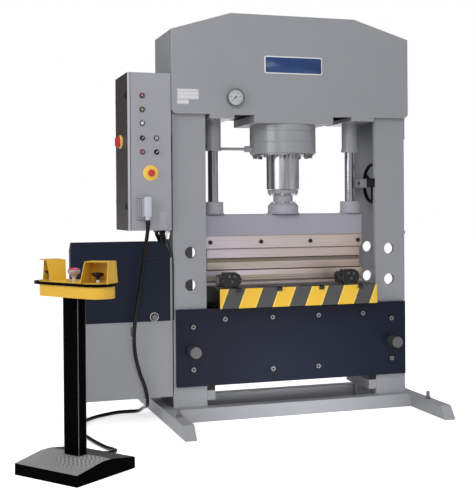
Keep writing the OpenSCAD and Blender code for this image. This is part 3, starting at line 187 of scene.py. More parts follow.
def add_node(tree, kind, links=None, **settings):
    """A shader node. settings are its properties, and links set or feed its inputs."""
    node = tree.nodes.new("ShaderNode" + kind)
    for key, value in settings.items():
        setattr(node, key, value)
    for socket, value in (links or {}).items():
        if isinstance(value, Term):
            tree.links.new(value.socket, node.inputs[socket])
        else:
            node.inputs[socket].default_value = value
    return node


def term(tree, kind, output=0, links=None, **settings):
    """One output of a new node, for formulas."""
    return Term(add_node(tree, kind, links, **settings).outputs[output])


def object_place(tree):
    """The place on a piece, in the piece's own axes."""
    return term(tree, "TexCoord", "Object")


def noise(place, scale, detail, roughness=0.5):
    """Noise from 0 to 1."""
    return term(place.tree, "TexNoise", "Fac",
        {0: place, "Scale": scale, "Detail": detail, "Roughness": roughness})


def mix(tree, factor, a, b, blend="MIX"):
    """Colour a, turned into colour b by a factor."""
    a, b = ((*colour, 1) if isinstance(colour, tuple) else colour for colour in (a, b))
    return term(tree, "Mix", "Result", {"Factor": factor, "A": a, "B": b}, data_type="RGBA",
        blend_type=blend)


def new_group(name, inputs, outputs, results):
    """A node group with named inputs (name: default) and outputs (name: kind) that results makes."""
    group = bpy.data.node_groups.new(name, "ShaderNodeTree")
    for socket, default in inputs.items():
        kind = "NodeSocketColor" if isinstance(default, tuple) else "NodeSocketFloat"
        group.interface.new_socket(socket, in_out="INPUT", socket_type=kind).default_value = default
    for socket, kind in outputs.items():
        group.interface.new_socket(socket, in_out="OUTPUT", socket_type="NodeSocket" + kind)
    given = {socket.name: Term(socket) for socket in group.nodes.new("NodeGroupInput").outputs}
    end = group.nodes.new("NodeGroupOutput")
    for socket, value in results(group, given).items():
        group.links.new(value.socket, end.inputs[socket])
    return group


def place_group(tree, group, **inputs):
    """A copy of a node group in a material's tree."""
    values = {name.replace("_", " "): (*value, 1) if isinstance(value, tuple) else value
        for name, value in inputs.items()}
    return add_node(tree, "Group", values, node_tree=group)


def shader(name, base, **sockets):
    """A new material's tree with its Principled shader, whose sockets are set by name."""
    material = bpy.data.materials.new(name)
    material.use_nodes = True
    principled = material.node_tree.nodes["Principled BSDF"]
    principled.inputs["Base Color"].default_value = (*base, 1)
    for socket, value in sockets.items():
        principled.inputs[socket.replace("_", " ")].default_value = value
    return material, material.node_tree, principled


def surfaced(name, group, colour, colour_from, inputs, **sockets):
    """A material with a surface group round one colour, or round what colour_from makes."""
    material, tree, principled = shader(name, colour, **sockets)
    surface = place_group(tree, group, Colour=colour_from(tree) if colour_from else colour, **inputs)
    for socket, target in (("Colour", "Base Color"), ("Roughness", "Roughness"), ("Normal", "Normal")):
        tree.links.new(surface.outputs[socket], principled.inputs[target])
    return material


EDGE_GAIN = 4.0


def round_edges(group, radius):
    """The normal with rounded edges, and a mask of these edges."""
    normal = term(group, "Bevel", 0, {"Radius": radius}, samples=4)
    turn = term(group, "VectorMath", "Value",
        {0: normal, 1: term(group, "NewGeometry", "Normal")}, operation="DOT_PRODUCT")
    return normal, ((turn - 1.0) * -EDGE_GAIN).clamped()


SURFACE_OUTPUTS = {"Colour": "Color", "Roughness": "Float", "Normal": "Vector"}
DUST_COLOUR, BARE_AND_HIGHLIGHT_COLOUR = (0.55, 0.53, 0.5), (0.4, 0.4, 0.41)
PATCHES_PER_METRE, PATCH_ROUGHNESS, GRAIN_DEPTH = 2.3, 0.12, 0.0004


def skin_surface(group, given):
    """A fine skin with soft changes of tone, dust on top, edges painted lighter as a highlight, and worn
    edges in a bare colour that also paints highlights.
    """
    place = object_place(group)
    swing, fine = noise(place, PATCHES_PER_METRE, 4.0) - 0.5, noise(place, given["Grain"], 2.0)
    normal, edge = round_edges(group, given["Edge Width"])
    upward = term(group, "NewGeometry", "Normal").part("Z").math("MAXIMUM")
    # The edge term lightens edges as a painted highlight; the wear mix below turns them to a bare colour, for
    # wear and as a painted highlight.
    tint = term(group, "HueSaturation", 0, {"Color": given["Colour"],
        "Value": swing * given["Tone"] + edge * given["Edge"] + 1.0})
    dusty = mix(group, given["Dust"] * upward * fine, tint, DUST_COLOUR)
    return {"Colour": mix(group, edge * given["Wear"], dusty, BARE_AND_HIGHLIGHT_COLOUR),
        "Roughness": given["Roughness"] + swing * PATCH_ROUGHNESS,
        "Normal": term(group, "Bump", 0, {"Height": fine, "Distance": GRAIN_DEPTH,
            "Strength": given["Relief"], "Normal": normal})}


skin = new_group("surface_skin", {"Colour": (0.5, 0.5, 0.5, 1), "Tone": 0.06, "Grain": 700.0, "Relief": 0.08,
    "Edge": 0.25, "Edge Width": 0.003, "Roughness": 0.45, "Dust": 0.0, "Wear": 0.0}, SURFACE_OUTPUTS,
    skin_surface)


def skinned(name, colour, rough=0.45, colour_from=None, metallic=0.0, coat=0.0, gloss=0.3, **inputs):
    """A painted, moulded or cast finish."""
    return surfaced(name, skin, colour, colour_from, dict(inputs, Roughness=rough), Metallic=metallic,
        Coat_Weight=coat, Coat_Roughness=0.12, Specular_IOR_Level=gloss)


def fit(piece, material, body="frame"):
    """Gives a piece its material and its body."""
    piece.data.materials.append(material)
    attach(piece, body)
    return piece


def make(name, shell, material, body="frame", bevel=0.0, crease=35):
    """A finished piece from its shell."""
    return fit(add_mesh(name, shell, bevel, crease), material, body)


sheath = skinned("cord_sheath", (0.0018, 0.0018, 0.002), 0.13, Relief=0.02, Tone=0.2, Edge=0.0,
    Dust=0.01, gloss=0.2)
cord_path = smooth_path(CORD_ROUTE, CORD_STEPS)
cord_length = sum((b - a).length for a, b in zip(cord_path, cord_path[1:]))
cord = make("control_cord", tube(cord_path, lambda length: CORD_R), sheath)
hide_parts("cord")

# The plug is a moulded grey housing with a screwed lid, a steel latch, a union nut at its
# foot and a ribbed rubber sleeve that tapers over the first stretch of the cord.
PLUG_LOW, PLUG_HIGH = Vector((-0.937, -0.268, 1.198)), Vector((-0.895, -0.206, 1.314))
LID_D, BODY_D, LATCH_R = 0.005, PLUG_HIGH.y - PLUG_LOW.y - 0.004, 0.0018
plug_grey = skinned("plug_moulding", (0.52, 0.52, 0.6), 0.38, Relief=0.06, coat=0.1)
steel = skinned("latch_steel", (0.5, 0.5, 0.52), 0.28, metallic=0.9, Relief=0.05, Edge=0.2)


def rounded(width, height, radius, steps=6):
    """The outline of a rectangle with rounded corners, round its middle."""
    points = []
    for turn, (sx, sy) in enumerate(((1, 1), (-1, 1), (-1, -1), (1, -1))):
        for k in range(steps + 1):
            angle = math.pi / 2 * (turn + k / steps)
            points.append((sx * (width / 2 - radius) + radius * math.cos(angle),
                sy * (height / 2 - radius) + radius * math.sin(angle)))
    return points


def prism(outline, centre, depth, across=(1, 0, 0), upward=(0, 0, 1)):
    """An outline that stands out by depth from the plane that across and upward span."""
    centre, across, upward = Vector(centre), Vector(across), Vector(upward)
    outward = across.cross(upward) * depth
    flat = [centre + across * a + upward * b for a, b in outline]
    count = len(flat)
    faces = [tuple(range(count)), tuple(range(count, 2 * count))]
    faces += [(i, (i + 1) % count, count + (i + 1) % count, count + i) for i in range(count)]
    return flat + [p + outward for p in flat], faces


def turned(profile, centre, out=(0, -1, 0), sides=40):
    """A turned piece; profile is (radius, height) along out, closed where it ends as it starts."""
    centre, out = Vector(centre), Vector(out).normalized()
    across = out.orthogonal().normalized()
    other = out.cross(across)
    spokes = [across * math.cos(2 * math.pi * k / sides) + other * math.sin(2 * math.pi * k / sides)
        for k in range(sides)]
    closed = profile[0] == profile[-1]
    vertices, rings, faces = [], [], []
    for radius, height in profile[:-1] if closed else profile:
        count = 1 if radius < 1e-6 else sides
        rings.append([len(vertices) + k for k in range(count)])
        vertices += [centre + out * height + radius * spokes[k] for k in range(count)]
    for low, high in zip(rings, rings[1:] + ([rings[0]] if closed else [])):
        for k in range(sides):
            n = (k + 1) % sides
            side = (low[k % len(low)], low[n % len(low)], high[n % len(high)], high[k % len(high)])
            if len(set(side)) > 2:
                faces.append(tuple(dict.fromkeys(side)))
    if not closed:
        faces += [tuple(ring) for ring in (rings[0], rings[-1]) if len(ring) > 1]
    return vertices, faces


plug_middle, plug_size = (PLUG_LOW + PLUG_HIGH) / 2, PLUG_HIGH - PLUG_LOW
plug_shell = merge(
    prism(rounded(plug_size.x, plug_size.z, 0.011), (plug_middle.x, PLUG_HIGH.y, plug_middle.z), BODY_D),
    prism(rounded(plug_size.x - 0.007, plug_size.z - 0.008, 0.008),
        (plug_middle.x, PLUG_LOW.y + LID_D, plug_middle.z), LID_D),
    turned([(0, -0.004), (0.0165, -0.004), (0.0165, 0.006), (0.015, 0.008), (0.015, 0.016), (0.0128, 0.0185),
        (0, 0.0185)], (*CORD_ROUTE[0][:2], PLUG_LOW.z), (0, 0, -1), 12))
plug = make("cord_plug", plug_shell, plug_grey, bevel=0.0022, crease=40)
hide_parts("connector_plug")
latch_path = smooth_path([(PLUG_HIGH.x + off, y, z) for off, y, z in ((0.0008, -0.214, 1.212),
    (0.0015, -0.236, 1.222), (0.0015, -0.248, 1.24), (0.0015, -0.248, 1.284), (0.0015, -0.236, 1.3),
    (0.0008, -0.214, 1.306))], 4)
latch = make("plug_latch", tube(latch_path, lambda length: LATCH_R, 10), steel)
SLEEVE_L, SLEEVE_R, SLEEVE_TAPER, RIB_H, RIB_TURN = 0.045, 0.015, 0.0032, 0.0006, 900
sleeve_path, run = [cord_path[0]], 0.0
for a, b in zip(cord_path, cord_path[1:]):
    run += (b - a).length
    if run > SLEEVE_L:
        break
    sleeve_path.append(b)
sleeve_shell = tube(smooth_path(sleeve_path, 5), lambda length:
    SLEEVE_R - SLEEVE_TAPER * min(length / SLEEVE_L, 1) + RIB_H * math.cos(length * RIB_TURN))
sleeve = make("cord_sleeve", sleeve_shell, sheath)


# ------------------------ studio
# A pale floor that keeps the object's shadow, and a white surround with soft lamps. What
# is mirrored in the machine sees a greyer room that darkens towards the back.
FLOOR_HALF, FLOOR_Z, FLOOR_GLOW = 30, -0.0005, 0.62
floor = add_mesh("studio_floor", ([(x * FLOOR_HALF, y * FLOOR_HALF, FLOOR_Z)
    for x, y in ((-1, -1), (1, -1), (1, 1), (-1, 1))], [(0, 1, 2, 3)]))


def ray(tree, kind):
    """1 for rays of a kind, such as Camera or Glossy."""
    return term(tree, "LightPath", f"Is {kind} Ray")


def floor_finish():
    """Pale and matt, lifted to white for the camera and for what is mirrored in the machine."""
    material, tree, principled = shader("studio_floor", (0.86, 0.86, 0.86), Roughness=0.9)
    seen = ray(tree, "Camera").math("MAXIMUM", ray(tree, "Glossy")).math("MAXIMUM", ray(tree, "Transmission"))
    glow = term(tree, "Emission", 0, {"Color": (1, 1, 1, 1), "Strength": seen * FLOOR_GLOW})
    both = term(tree, "AddShader", 0, {0: Term(principled.outputs[0]), 1: glow})
    tree.links.new(both.socket, tree.nodes["Material Output"].inputs["Surface"])
    return material


floor.data.materials.append(floor_finish())
ROOM_GREY, ROOM_REAR = 0.46, 0.08
world = bpy.data.worlds.new("surround")
bpy.context.scene.world = world
world.use_nodes = True
sky = world.node_tree
sky_seen = ray(sky, "Camera").math("MAXIMUM", ray(sky, "Transmission"))
sky_rear = term(sky, "TexCoord", "Generated").part("Y").remap(0.45, 0.8, ROOM_GREY, ROOM_REAR)
sky_mirrored = term(sky, "Mix", 0, {0: ray(sky, "Glossy"), 2: ROOM_GREY, 3: sky_rear})
sky_strength = term(sky, "Mix", 0, {0: sky_seen, 2: sky_mirrored, 3: 1.0})
sky.nodes["Background"].inputs["Color"].default_value = (1, 1, 1, 1)
sky.links.new(sky_strength.socket, sky.nodes["Background"].inputs["Strength"])


def soft_lamp(name, place, aim, size, watts, spread=180):
    """A square area lamp that looks at a point; spread is the angle it lights, in degrees."""
    lamp = add_object(name, bpy.data.lights.new(name, "AREA"))
    lamp.data.size, lamp.data.energy, lamp.data.spread = size, watts, math.radians(spread)
    lamp.location = place
    lamp.rotation_euler = (Vector(aim) - Vector(place)).to_track_quat("-Z", "Y").to_euler()


soft_lamp("key_lamp", (-2.2, -6.4, 4.0), (0, 0, 1.3), 3.0, 130)
soft_lamp("left_lamp", (-5.6, -3.0, 3.0), (-0.8, 0, 1.2), 3.0, 92)
soft_lamp("low_lamp", (0.2, -4.0, 0.25), (0, 0, -0.05), 1.0, 3, 22)
soft_lamp("top_lamp", (0, 0.5, 6.5), (0, 0, 1.0), 4.0, 150)

# ------------------------ welded frame
# Columns, head, feet and covers are flame-cut plate, welded and sprayed in one light grey
# enamel with a slight violet cast; the corners of the feet carry weld beads.
GREY = (0.3, 0.305, 0.327)


def dress(material, *names):
    """Gives CAD nodes their finish."""
    for name in names:
        nodes[name].material_slots[0].material = material


grey_paint = skinned("grey_paint", GREY, 0.4, Relief=0.1, Tone=0.07, Edge=0.35, Dust=0.12)
dress(grey_paint, "base_frame", "uprights", "head_front_plate", "head_rear_plate", "head_covers",
    "cylinder_slab", "mounting_bars")


WELD_FROM_X, WELD_TO_X, WELD_Y, WELD_Z, WELD_R = 0.69, 0.748, 0.173, 0.076, 0.004
WELD_STEPS, RIPPLE_H, RIPPLE_TURN = 16, 0.12, 450


def bead(start, end):
    """A weld bead: a run of small overlapping ripples."""
    path = [Vector(start).lerp(Vector(end), i / WELD_STEPS) for i in range(WELD_STEPS + 1)]
    return tube(path, lambda length:
        WELD_R * (1 - RIPPLE_H + RIPPLE_H * abs(math.sin(length * RIPPLE_TURN))), 8)


runs = [bead((x * WELD_FROM_X, y * WELD_Y, WELD_Z), (x * WELD_TO_X, y * WELD_Y, WELD_Z)) for x in (-1, 1)
    for y in (-1, 1)]
make("foot_welds", merge(*runs), grey_paint)

# ------------------------ plates on the head
# A blue enamelled plate with a light rim sits in the middle of the head, and two small
# aluminium plates at its left end; all are blank, and the small ones have drive rivets.
HEAD_Y, PLATE_T = -0.206, 0.001
BADGE_X, BADGE_Z, BADGE_W, BADGE_H, BADGE_RIM = -0.0025, 2.103, 0.373, 0.106, 0.007
ALUMINIUM, ENGRAVING = (0.66, 0.66, 0.69), (0.3, 0.3, 0.33)
rim_enamel = skinned("badge_rim", (0.74, 0.76, 0.8), 0.3, Relief=0.03, Tone=0.04, Edge=0.1)
blue_enamel = skinned("badge_enamel", (0.012, 0.045, 0.15), 0.22, Relief=0.03, Tone=0.12, Edge=0.5,
    coat=0.3)
make("head_badge_rim", prism(rounded(BADGE_W, BADGE_H, 0.012), (BADGE_X, HEAD_Y, BADGE_Z), 2 * PLATE_T),
    rim_enamel, bevel=0.0005)
make("head_badge_field", prism(rounded(BADGE_W - 2 * BADGE_RIM, BADGE_H - 2 * BADGE_RIM, 0.008),
    (BADGE_X, HEAD_Y - 0.0018, BADGE_Z), PLATE_T), blue_enamel, bevel=0.0003)


def grid_lines(group, given):
    """The engraved lines between the columns and the rows of a grid."""
    across, rise = [(object_place(group).part(axis) - given[start]).math("PINGPONG", given[step] * 0.5)
        < given["Line"] for axis, start, step in (("X", "Left", "Column"), ("Z", "Top", "Row"))]
    return {"Mask": across.math("MAXIMUM", rise)}


engraved = new_group("engraved_grid", {"Left": 0.0, "Top": 0.0, "Column": 0.03, "Row": 0.01, "Line": 0.0008},
    {"Mask": "Float"}, grid_lines)


def blank_plate(name, left, right, low, high, columns, rows, border=0.004, rivet_in=0.006, rivet_r=0.0022):
    """A thin aluminium plate with an engraved grid of empty boxes, held by four rivets."""
    def boxes(tree):
        grid = place_group(tree, engraved, Left=left + border, Top=low + border,
            Column=(right - left - 2 * border) / columns * 2, Row=(high - low - 2 * border) / rows * 2)
        return mix(tree, Term(grid.outputs["Mask"]), ALUMINIUM, ENGRAVING)
    finish = skinned(name + "_finish", ALUMINIUM, 0.38, boxes, metallic=0.25, Relief=0.05, Tone=0.2,
        Edge=0.2)
    dome = [(rivet_r * radius, rivet_r * height)
        for radius, height in ((1, 0), (0.9, 0.35), (0.5, 0.6), (0, 0.7))]
    rivets = [turned(dome, (x, HEAD_Y - 0.0009, z), sides=16) for x in (left + rivet_in, right - rivet_in)
        for z in (low + rivet_in, high - rivet_in)]
    sheet = prism(rounded(right - left, high - low, 0.003), ((left + right) / 2, HEAD_Y, (low + high) / 2),
        PLATE_T)
    make(name, merge(sheet, *rivets), finish)


blank_plate("rating_plate", -0.728, -0.596, 1.883, 1.943, 2, 5)
blank_plate("order_plate", -0.729, -0.658, 1.854, 1.881, 1, 2)

# ------------------------ pressure gauge
# A 100 mm dial gauge on the head: a polished rim, a white dial printed in black, a black
# needle on its arbor and a flat glass.
GAUGE, DIAL_R = Vector((-0.378, -0.23, 1.899)), 0.0462
MARKS, MARKS_R, MARKS_OUT = 51, 0.0415, Vector((0, -0.0005, 0))
FIGURES, FIGURES_R, FIGURES_OUT, FIGURE_STEP = 6, 0.0275, Vector((0, -0.00034, 0)), 80
dial_white = skinned("dial_white", (0.82, 0.82, 0.84), 0.5, Relief=0.02, Tone=0.02, Edge=0.0)
dial_black = skinned("dial_print", (0.03, 0.03, 0.035), 0.5, Relief=0.0, Edge=0.0)
make("gauge_dial", turned([(0, 0), (DIAL_R, 0), (DIAL_R, 0.0003), (0, 0.0003)], GAUGE, sides=64), dial_white)


def dial_ray(share):
    """The way from the dial's middle to a mark, from lower left over the top to lower right."""
    angle = math.radians(225 - 270 * share)
    return Vector((math.cos(angle), 0, math.sin(angle)))


marks = []
for i in range(MARKS):
    way = dial_ray(i / (MARKS - 1))
    half, reach = (0.0006, 0.008) if i % 5 == 0 else (0.0003, 0.004)
    start = GAUGE + way * (MARKS_R - reach) + MARKS_OUT
    marks.append(prism([(-half, 0), (half, 0), (half, reach), (-half, reach)], start, 0.0002,
        (way.z, 0, -way.x), way))
make("gauge_marks", merge(*marks), dial_black)
for i in range(FIGURES):
    font = bpy.data.curves.new("dial_figure", "FONT")
    font.body, font.size, font.extrude = str(i * FIGURE_STEP), 0.0085, 0.0001
    font.align_x, font.align_y = "CENTER", "CENTER"
    written = add_object("dial_figure", font)
    spot = GAUGE + dial_ray(i / (FIGURES - 1)) * FIGURES_R + FIGURES_OUT
    bpy.context.view_layer.update()
    figure = bpy.data.meshes.new_from_object(written)
    figure.transform(Matrix.Translation(spot) @ Matrix.Rotation(math.radians(90), 4, "X"))
    bpy.data.objects.remove(written)
    fit(add_object(f"gauge_figure_{i}", figure), dial_black)


def pane_glass():
    """Clear thin glass that gleams at a slant."""
    material, tree, principled = shader("gauge_glass", (1, 1, 1))
    tree.nodes.remove(principled)
    clear = term(tree, "BsdfTransparent", 0, {"Color": (0.97, 0.98, 0.98, 1)})
    gleam = term(tree, "BsdfGlossy", 0, {"Color": (1, 1, 1, 1), "Roughness": 0.03})
    slant = term(tree, "Fresnel", 0, {"IOR": 1.45})
    both = term(tree, "MixShader", 0, {0: slant, 1: clear, 2: gleam})
    tree.links.new(both.socket, tree.nodes["Material Output"].inputs["Surface"])
    return material


make("gauge_pane", turned([(0, 0.0068), (0.0466, 0.0068), (0.0466, 0.008), (0.03, 0.0086), (0, 0.0088)],
    GAUGE, sides=64), pane_glass())

# ------------------------ cylinder
# The barrel and the rod's collar are painted; its rod and the guide rods are hard chromed, and the seal's
# gland ring and all screws are plain machined or zinc plated steel.
STREAK_ROUGHNESS, STREAK_DEPTH, METAL_EDGE = 0.35, 0.0003, 0.0015


def streak_surface(group, given):
    """Ground or turned metal: streaks along the piece's axes, and edges painted lighter, as wear and as a
    highlight.
    """
    lengths = term(group, "CombineXYZ", 0, {axis: given["Length " + axis] for axis in "XYZ"})
    place = term(group, "VectorMath", 0, {0: object_place(group), 1: lengths}, operation="MULTIPLY")
    streak = noise(place, 1.0, 6.0, 0.7)
    swing = streak - 0.5
    normal, edge = round_edges(group, METAL_EDGE)
    return {"Colour": term(group, "HueSaturation", 0, {"Color": given["Colour"],
            "Value": edge * given["Edge"] + swing * given["Tone"] + 1.0}),
        "Roughness": given["Roughness"] + swing * STREAK_ROUGHNESS,
        "Normal": term(group, "Bump", 0, {"Height": streak, "Distance": STREAK_DEPTH,
            "Strength": given["Relief"], "Normal": normal})}


streaks = new_group("ground_streaks", {"Colour": (0.5, 0.5, 0.5, 1), "Tone": 0.25, "Roughness": 0.3,
    "Length X": 3.0, "Length Y": 3.0, "Length Z": 3.0, "Relief": 0.15, "Edge": 0.3}, SURFACE_OUTPUTS,
    streak_surface)


def ground(name, colour, rough, streaks_per_metre=(90.0, 90.0, 90.0), colour_from=None, metallic=1.0,
        **inputs):
    """A ground, turned or plated metal, with its number of streaks along X, Y and Z."""
    for axis, count in zip("XYZ", streaks_per_metre):
        inputs["Length_" + axis] = count
    return surfaced(name, streaks, colour, colour_from, dict(inputs, Roughness=rough), Metallic=metallic)


# The chrome's streaks swing strongly between light and dark along the rods: painted reflections over fine
# grinding marks.
dress(ground("hard_chrome", (0.46, 0.45, 0.49), 0.15, (42.0, 42.0, 0.9), Tone=2.4, Relief=0.04),
    "guide_rods")
NECK_TOP, ROD_CHROME = 1.3335, (0.5, 0.5, 0.54)


def rod_finish():
    """Chrome on the rod, and paint on the neck below it."""
    material, tree, principled = shader("rod_chrome_and_neck", ROD_CHROME)
    bare = object_place(tree).part("Z") > NECK_TOP
    # The chromed streaks are strong light and dark bands: painted reflections.
    chromed = place_group(tree, streaks, Colour=ROD_CHROME, Length_X=17.0, Length_Y=17.0, Length_Z=0.5,
        Roughness=0.24, Tone=2.6, Relief=0.04).outputs
    painted = place_group(tree, skin, Colour=(0.36, 0.35, 0.4), Roughness=0.4, Edge=0.3).outputs
    colour = mix(tree, bare, Term(painted["Colour"]), Term(chromed["Colour"]))
    rough = term(tree, "Mix", 0, {0: bare, 2: Term(painted["Roughness"]), 3: Term(chromed["Roughness"])})
    for value, target in ((colour, "Base Color"), (rough, "Roughness"), (bare, "Metallic"),
            (Term(chromed["Normal"]), "Normal")):
        tree.links.new(value.socket, principled.inputs[target])
    return material


dress(rod_finish(), "piston_rod")
zinc = ground("zinc_plate", (0.55, 0.55, 0.58), 0.28)
bolt_zinc = ground("bolt_zinc", (0.17, 0.17, 0.185), 0.45, Tone=0.5)
dress(bolt_zinc, "frame_fasteners")
dress(ground("machined_steel", (0.27, 0.27, 0.29), 0.36, (40.0, 40.0, 400.0), Tone=0.3), "cylinder_gland")
dress(skinned("barrel_paint", GREY, 0.24, Relief=0.06, Tone=0.07, Edge=0.45, coat=0.25, gloss=0.5),
    "cylinder_barrel", "guide_housings", "rod_collar", "hydraulic_pipe")
dress(ground("gauge_rim", (0.2, 0.2, 0.22), 0.25), "gauge_case")

# ------------------------ ram beam
# A grey painted beam that carries the tool holder; black socket screws hold the tool,
# bright ones the rod's collar.
def split_colour(axis, level, below, above):
    """One colour below a level of the piece's own axis and another above it."""
    return lambda tree: mix(tree, object_place(tree).part(axis) < level, above, below)


dress(skinned("ram_paint", (0.375, 0.372, 0.425), 0.42, Relief=0.12, Tone=0.1, Edge=0.3, Dust=0.12),
    "ram_beam")
BLACK_OXIDE, BRIGHT_ZINC, TOOL_SCREWS_TOP = (0.045, 0.03, 0.034), (0.6, 0.6, 0.63), 1.1
screw_colours = split_colour("Z", TOOL_SCREWS_TOP, BLACK_OXIDE, BRIGHT_ZINC)
dress(ground("ram_screws", (0.3, 0.3, 0.3), 0.35, colour_from=screw_colours, metallic=0.8), "ram_fasteners")

# ------------------------ tools
# Punch, die and tool holder are planed tool steel: bright lands with fine lines along
# them, oiled grooves darkened with painted shade, and a light tan of oil and heat towards the right.
TOOL_LIGHT, TOOL_OLIVE, TOOL_TAN = (0.62, 0.55, 0.615), (0.49, 0.43, 0.26), (0.53, 0.41, 0.315)
OIL_PATCHES, OIL_SWING, OIL_FROM_X = (2.2, 2.0, 14.0), 0.9, -0.45


def tool_finish(name, bands):
    """Planed steel in bands of (height, shade, oil) from the bottom up; shade is painted shade that darkens
    grooves and steps, oil browns.
    """
    low, high = bands[0][0], bands[-1][0]

    def ramp(share, column):
        node = add_node(share.tree, "ValToRGB", {0: share})
        stops = node.color_ramp.elements
        for band in bands[1:-1]:
            stops.new((band[0] - low) / (high - low))
        for stop, band in zip(stops, bands):
            stop.position, stop.color = (band[0] - low) / (high - low), (band[column],) * 3 + (1,)
        return Term(node.outputs["Color"])

    def colour_from(tree):
        place = object_place(tree)
        x, share = place.part("X"), place.part("Z").remap(low, high)
        patches = term(tree, "VectorMath", 0, {0: place, 1: OIL_PATCHES}, operation="MULTIPLY")
        drift = (noise(patches, 1.0, 3.0) - 0.5) * OIL_SWING
        brown = (x - OIL_FROM_X + drift).math("MAXIMUM", ramp(share, 2) + drift).clamped()
        brown *= x.remap(-0.53, -0.44, 0.3, 1.0)
        oil = mix(tree, (x + drift).remap(-0.3, 0.15), TOOL_OLIVE, TOOL_TAN)
        # The second column of the bands multiplies painted shade into the grooves and steps.
        return mix(tree, 1.0, mix(tree, brown, TOOL_LIGHT, oil), ramp(share, 1), "MULTIPLY")

    return ground(name, TOOL_LIGHT, 0.34, (2.0, 300.0, 300.0), colour_from, metallic=0.3, Tone=0.42,
        Relief=0.2, Edge=0.15)


dress(tool_finish("holder_steel", [(0.998, 0.1, 0.5), (1.002, 0.85, 0.2), (1.004, 1.0, 0.0),
    (1.078, 1.0, 0.0)]), "tool_holder")
dress(tool_finish("punch_steel", [(0.841, 0.5, 0.8), (0.866, 0.22, 0.8), (0.869, 0.22, 0.8),
    (0.873, 0.82, 0.55), (0.917, 0.86, 0.6), (0.92, 0.4, 0.9), (0.934, 0.3, 0.9), (0.939, 0.16, 0.9),
    (0.943, 0.95, 0.1), (0.992, 1.02, 0.0), (0.995, 0.9, 0.2), (0.9965, 0.1, 0.6), (1.02, 0.2, 0.6)]),
    "punch")
dress(tool_finish("die_steel", [(0.775, 0.7, 0.4), (0.786, 0.95, 0.2), (0.791, 0.95, 0.2), (0.795, 0.26, 0.7),
    (0.801, 0.34, 0.8), (0.804, 0.72, 0.7), (0.816, 0.74, 0.7), (0.819, 0.36, 0.9), (0.822, 0.76, 0.7),
    (0.834, 0.66, 0.8), (0.837, 0.95, 0.1), (0.862, 1.02, 0.0), (0.866, 0.6, 0.4)]), "die")

# ------------------------ table
# Two thick plates sprayed dark blue, bolted to spacers and hung on turned steel pins. The
# spacers are grey like the frame on the feet and near-black between the plates, which is painted shade.
dress(skinned("navy_paint", (0.008, 0.0105, 0.024), 0.4, Relief=0.1, Tone=0.12, Edge=1.6, gloss=0.11,
    Dust=0.04), "table_front_plate", "table_rear_plate")
dark_paint = skinned("dark_paint", (0.005, 0.005, 0.006), Edge=2.0, gloss=0.08)
dress(dark_paint, "handwheel_shaft")
SPACER_SPLIT_Z, BRACKET_SPLIT_Y = 0.168, -0.075
# Near-black above the feet: painted shade between the plates.
spacer_grey_and_shade = split_colour("Z", SPACER_SPLIT_Z, GREY, (0.012, 0.012, 0.013))
dress(skinned("spacer_paint", GREY, 0.42, spacer_grey_and_shade, Relief=0.1, Edge=0.3, gloss=0.15), "table_spacers")
bracket_colours = split_colour("Y", BRACKET_SPLIT_Y, (0.004, 0.004, 0.005), GREY)
dress(skinned("bracket_paint", GREY, 0.42, bracket_colours, Relief=0.1, Edge=0.4, gloss=0.15),
    "shaft_bracket")
dress(ground("turned_dark", (0.095, 0.094, 0.098), 0.4, (40.0, 400.0, 40.0), metallic=0.5, Tone=0.4,
    Edge=1.0), "table_pins")
BOLTS = ((0.445, 0.59), (0.149, 0.59), (0.146, 0.28), (0.64, 0.551), (0.64, 0.301))
WASHER_Y, SOCKET_Y = 0.202, 0.2099
rings = []
for x, z in BOLTS:
    for mirror_x in (-1, 1):
        for face in (-1, 1):
            rings.append(turned([(0.0142, 0), (0.0185, 0), (0.0185, 0.0012), (0.0142, 0.0018), (0.0142, 0)],
                (mirror_x * x, face * WASHER_Y, z), (0, face, 0), 32))
            rings.append(turned([(0, 0), (0.0068, 0), (0.0068, 0.0005), (0, 0.0005)],
                (mirror_x * x, face * SOCKET_Y, z), (0, face, 0), 6))
make("table_bolt_washers", merge(*rings), dark_paint)

# ------------------------ die holder
# A heavy welded block, sprayed dark grey on top and black on its ends; yellow warning
# stripes with dark borders lean to the right on its front.
STRIPE_PERIOD, STRIPE_WIDTH, STRIPE_LEAN, STRIPE_START = 0.209, 0.108, 0.39, -0.547
STRIPE_BORDER, STRIPE_RIM, STRIPE_FOOT, FACING = 0.0035, 0.009, 0.006, 0.7
holder_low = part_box("die_holder")[0]


def warning_stripes(tree):
    """Yellow bands that lean to the right, on the faces that look to the front."""
    place, facing = object_place(tree), term(tree, "NewGeometry", "Normal")
    height = place.part("Z")
    rise = (height - holder_low.z) * STRIPE_LEAN
    off = (place.part("X") - rise - STRIPE_START).math("PINGPONG", STRIPE_PERIOD / 2)
    front = (facing.part("Y") < -FACING) * (place.part("Y") < holder_low.y + 0.01)
    foot = height < holder_low.z + STRIPE_FOOT
    clear = (front - foot).clamped()
    ends = facing.part("X").math("ABSOLUTE") > FACING
    colour = mix(tree, ends.math("MAXIMUM", front * foot), (0.082, 0.082, 0.084), (0.0015, 0.0015, 0.002))
    half = STRIPE_WIDTH / 2
    for layer, half_width in (((0.1, 0.065, 0.025), half + STRIPE_BORDER), ((0.86, 0.6, 0.13), half),
            ((0.81, 0.5, 0.058), half - STRIPE_RIM)):
        colour = mix(tree, (off < half_width) * clear, colour, layer)
    return colour


dress(skinned("striped_paint", (0.118, 0.118, 0.12), 0.42, warning_stripes, Tone=0.08, Edge=0.2, gloss=0.08),
    "die_holder")
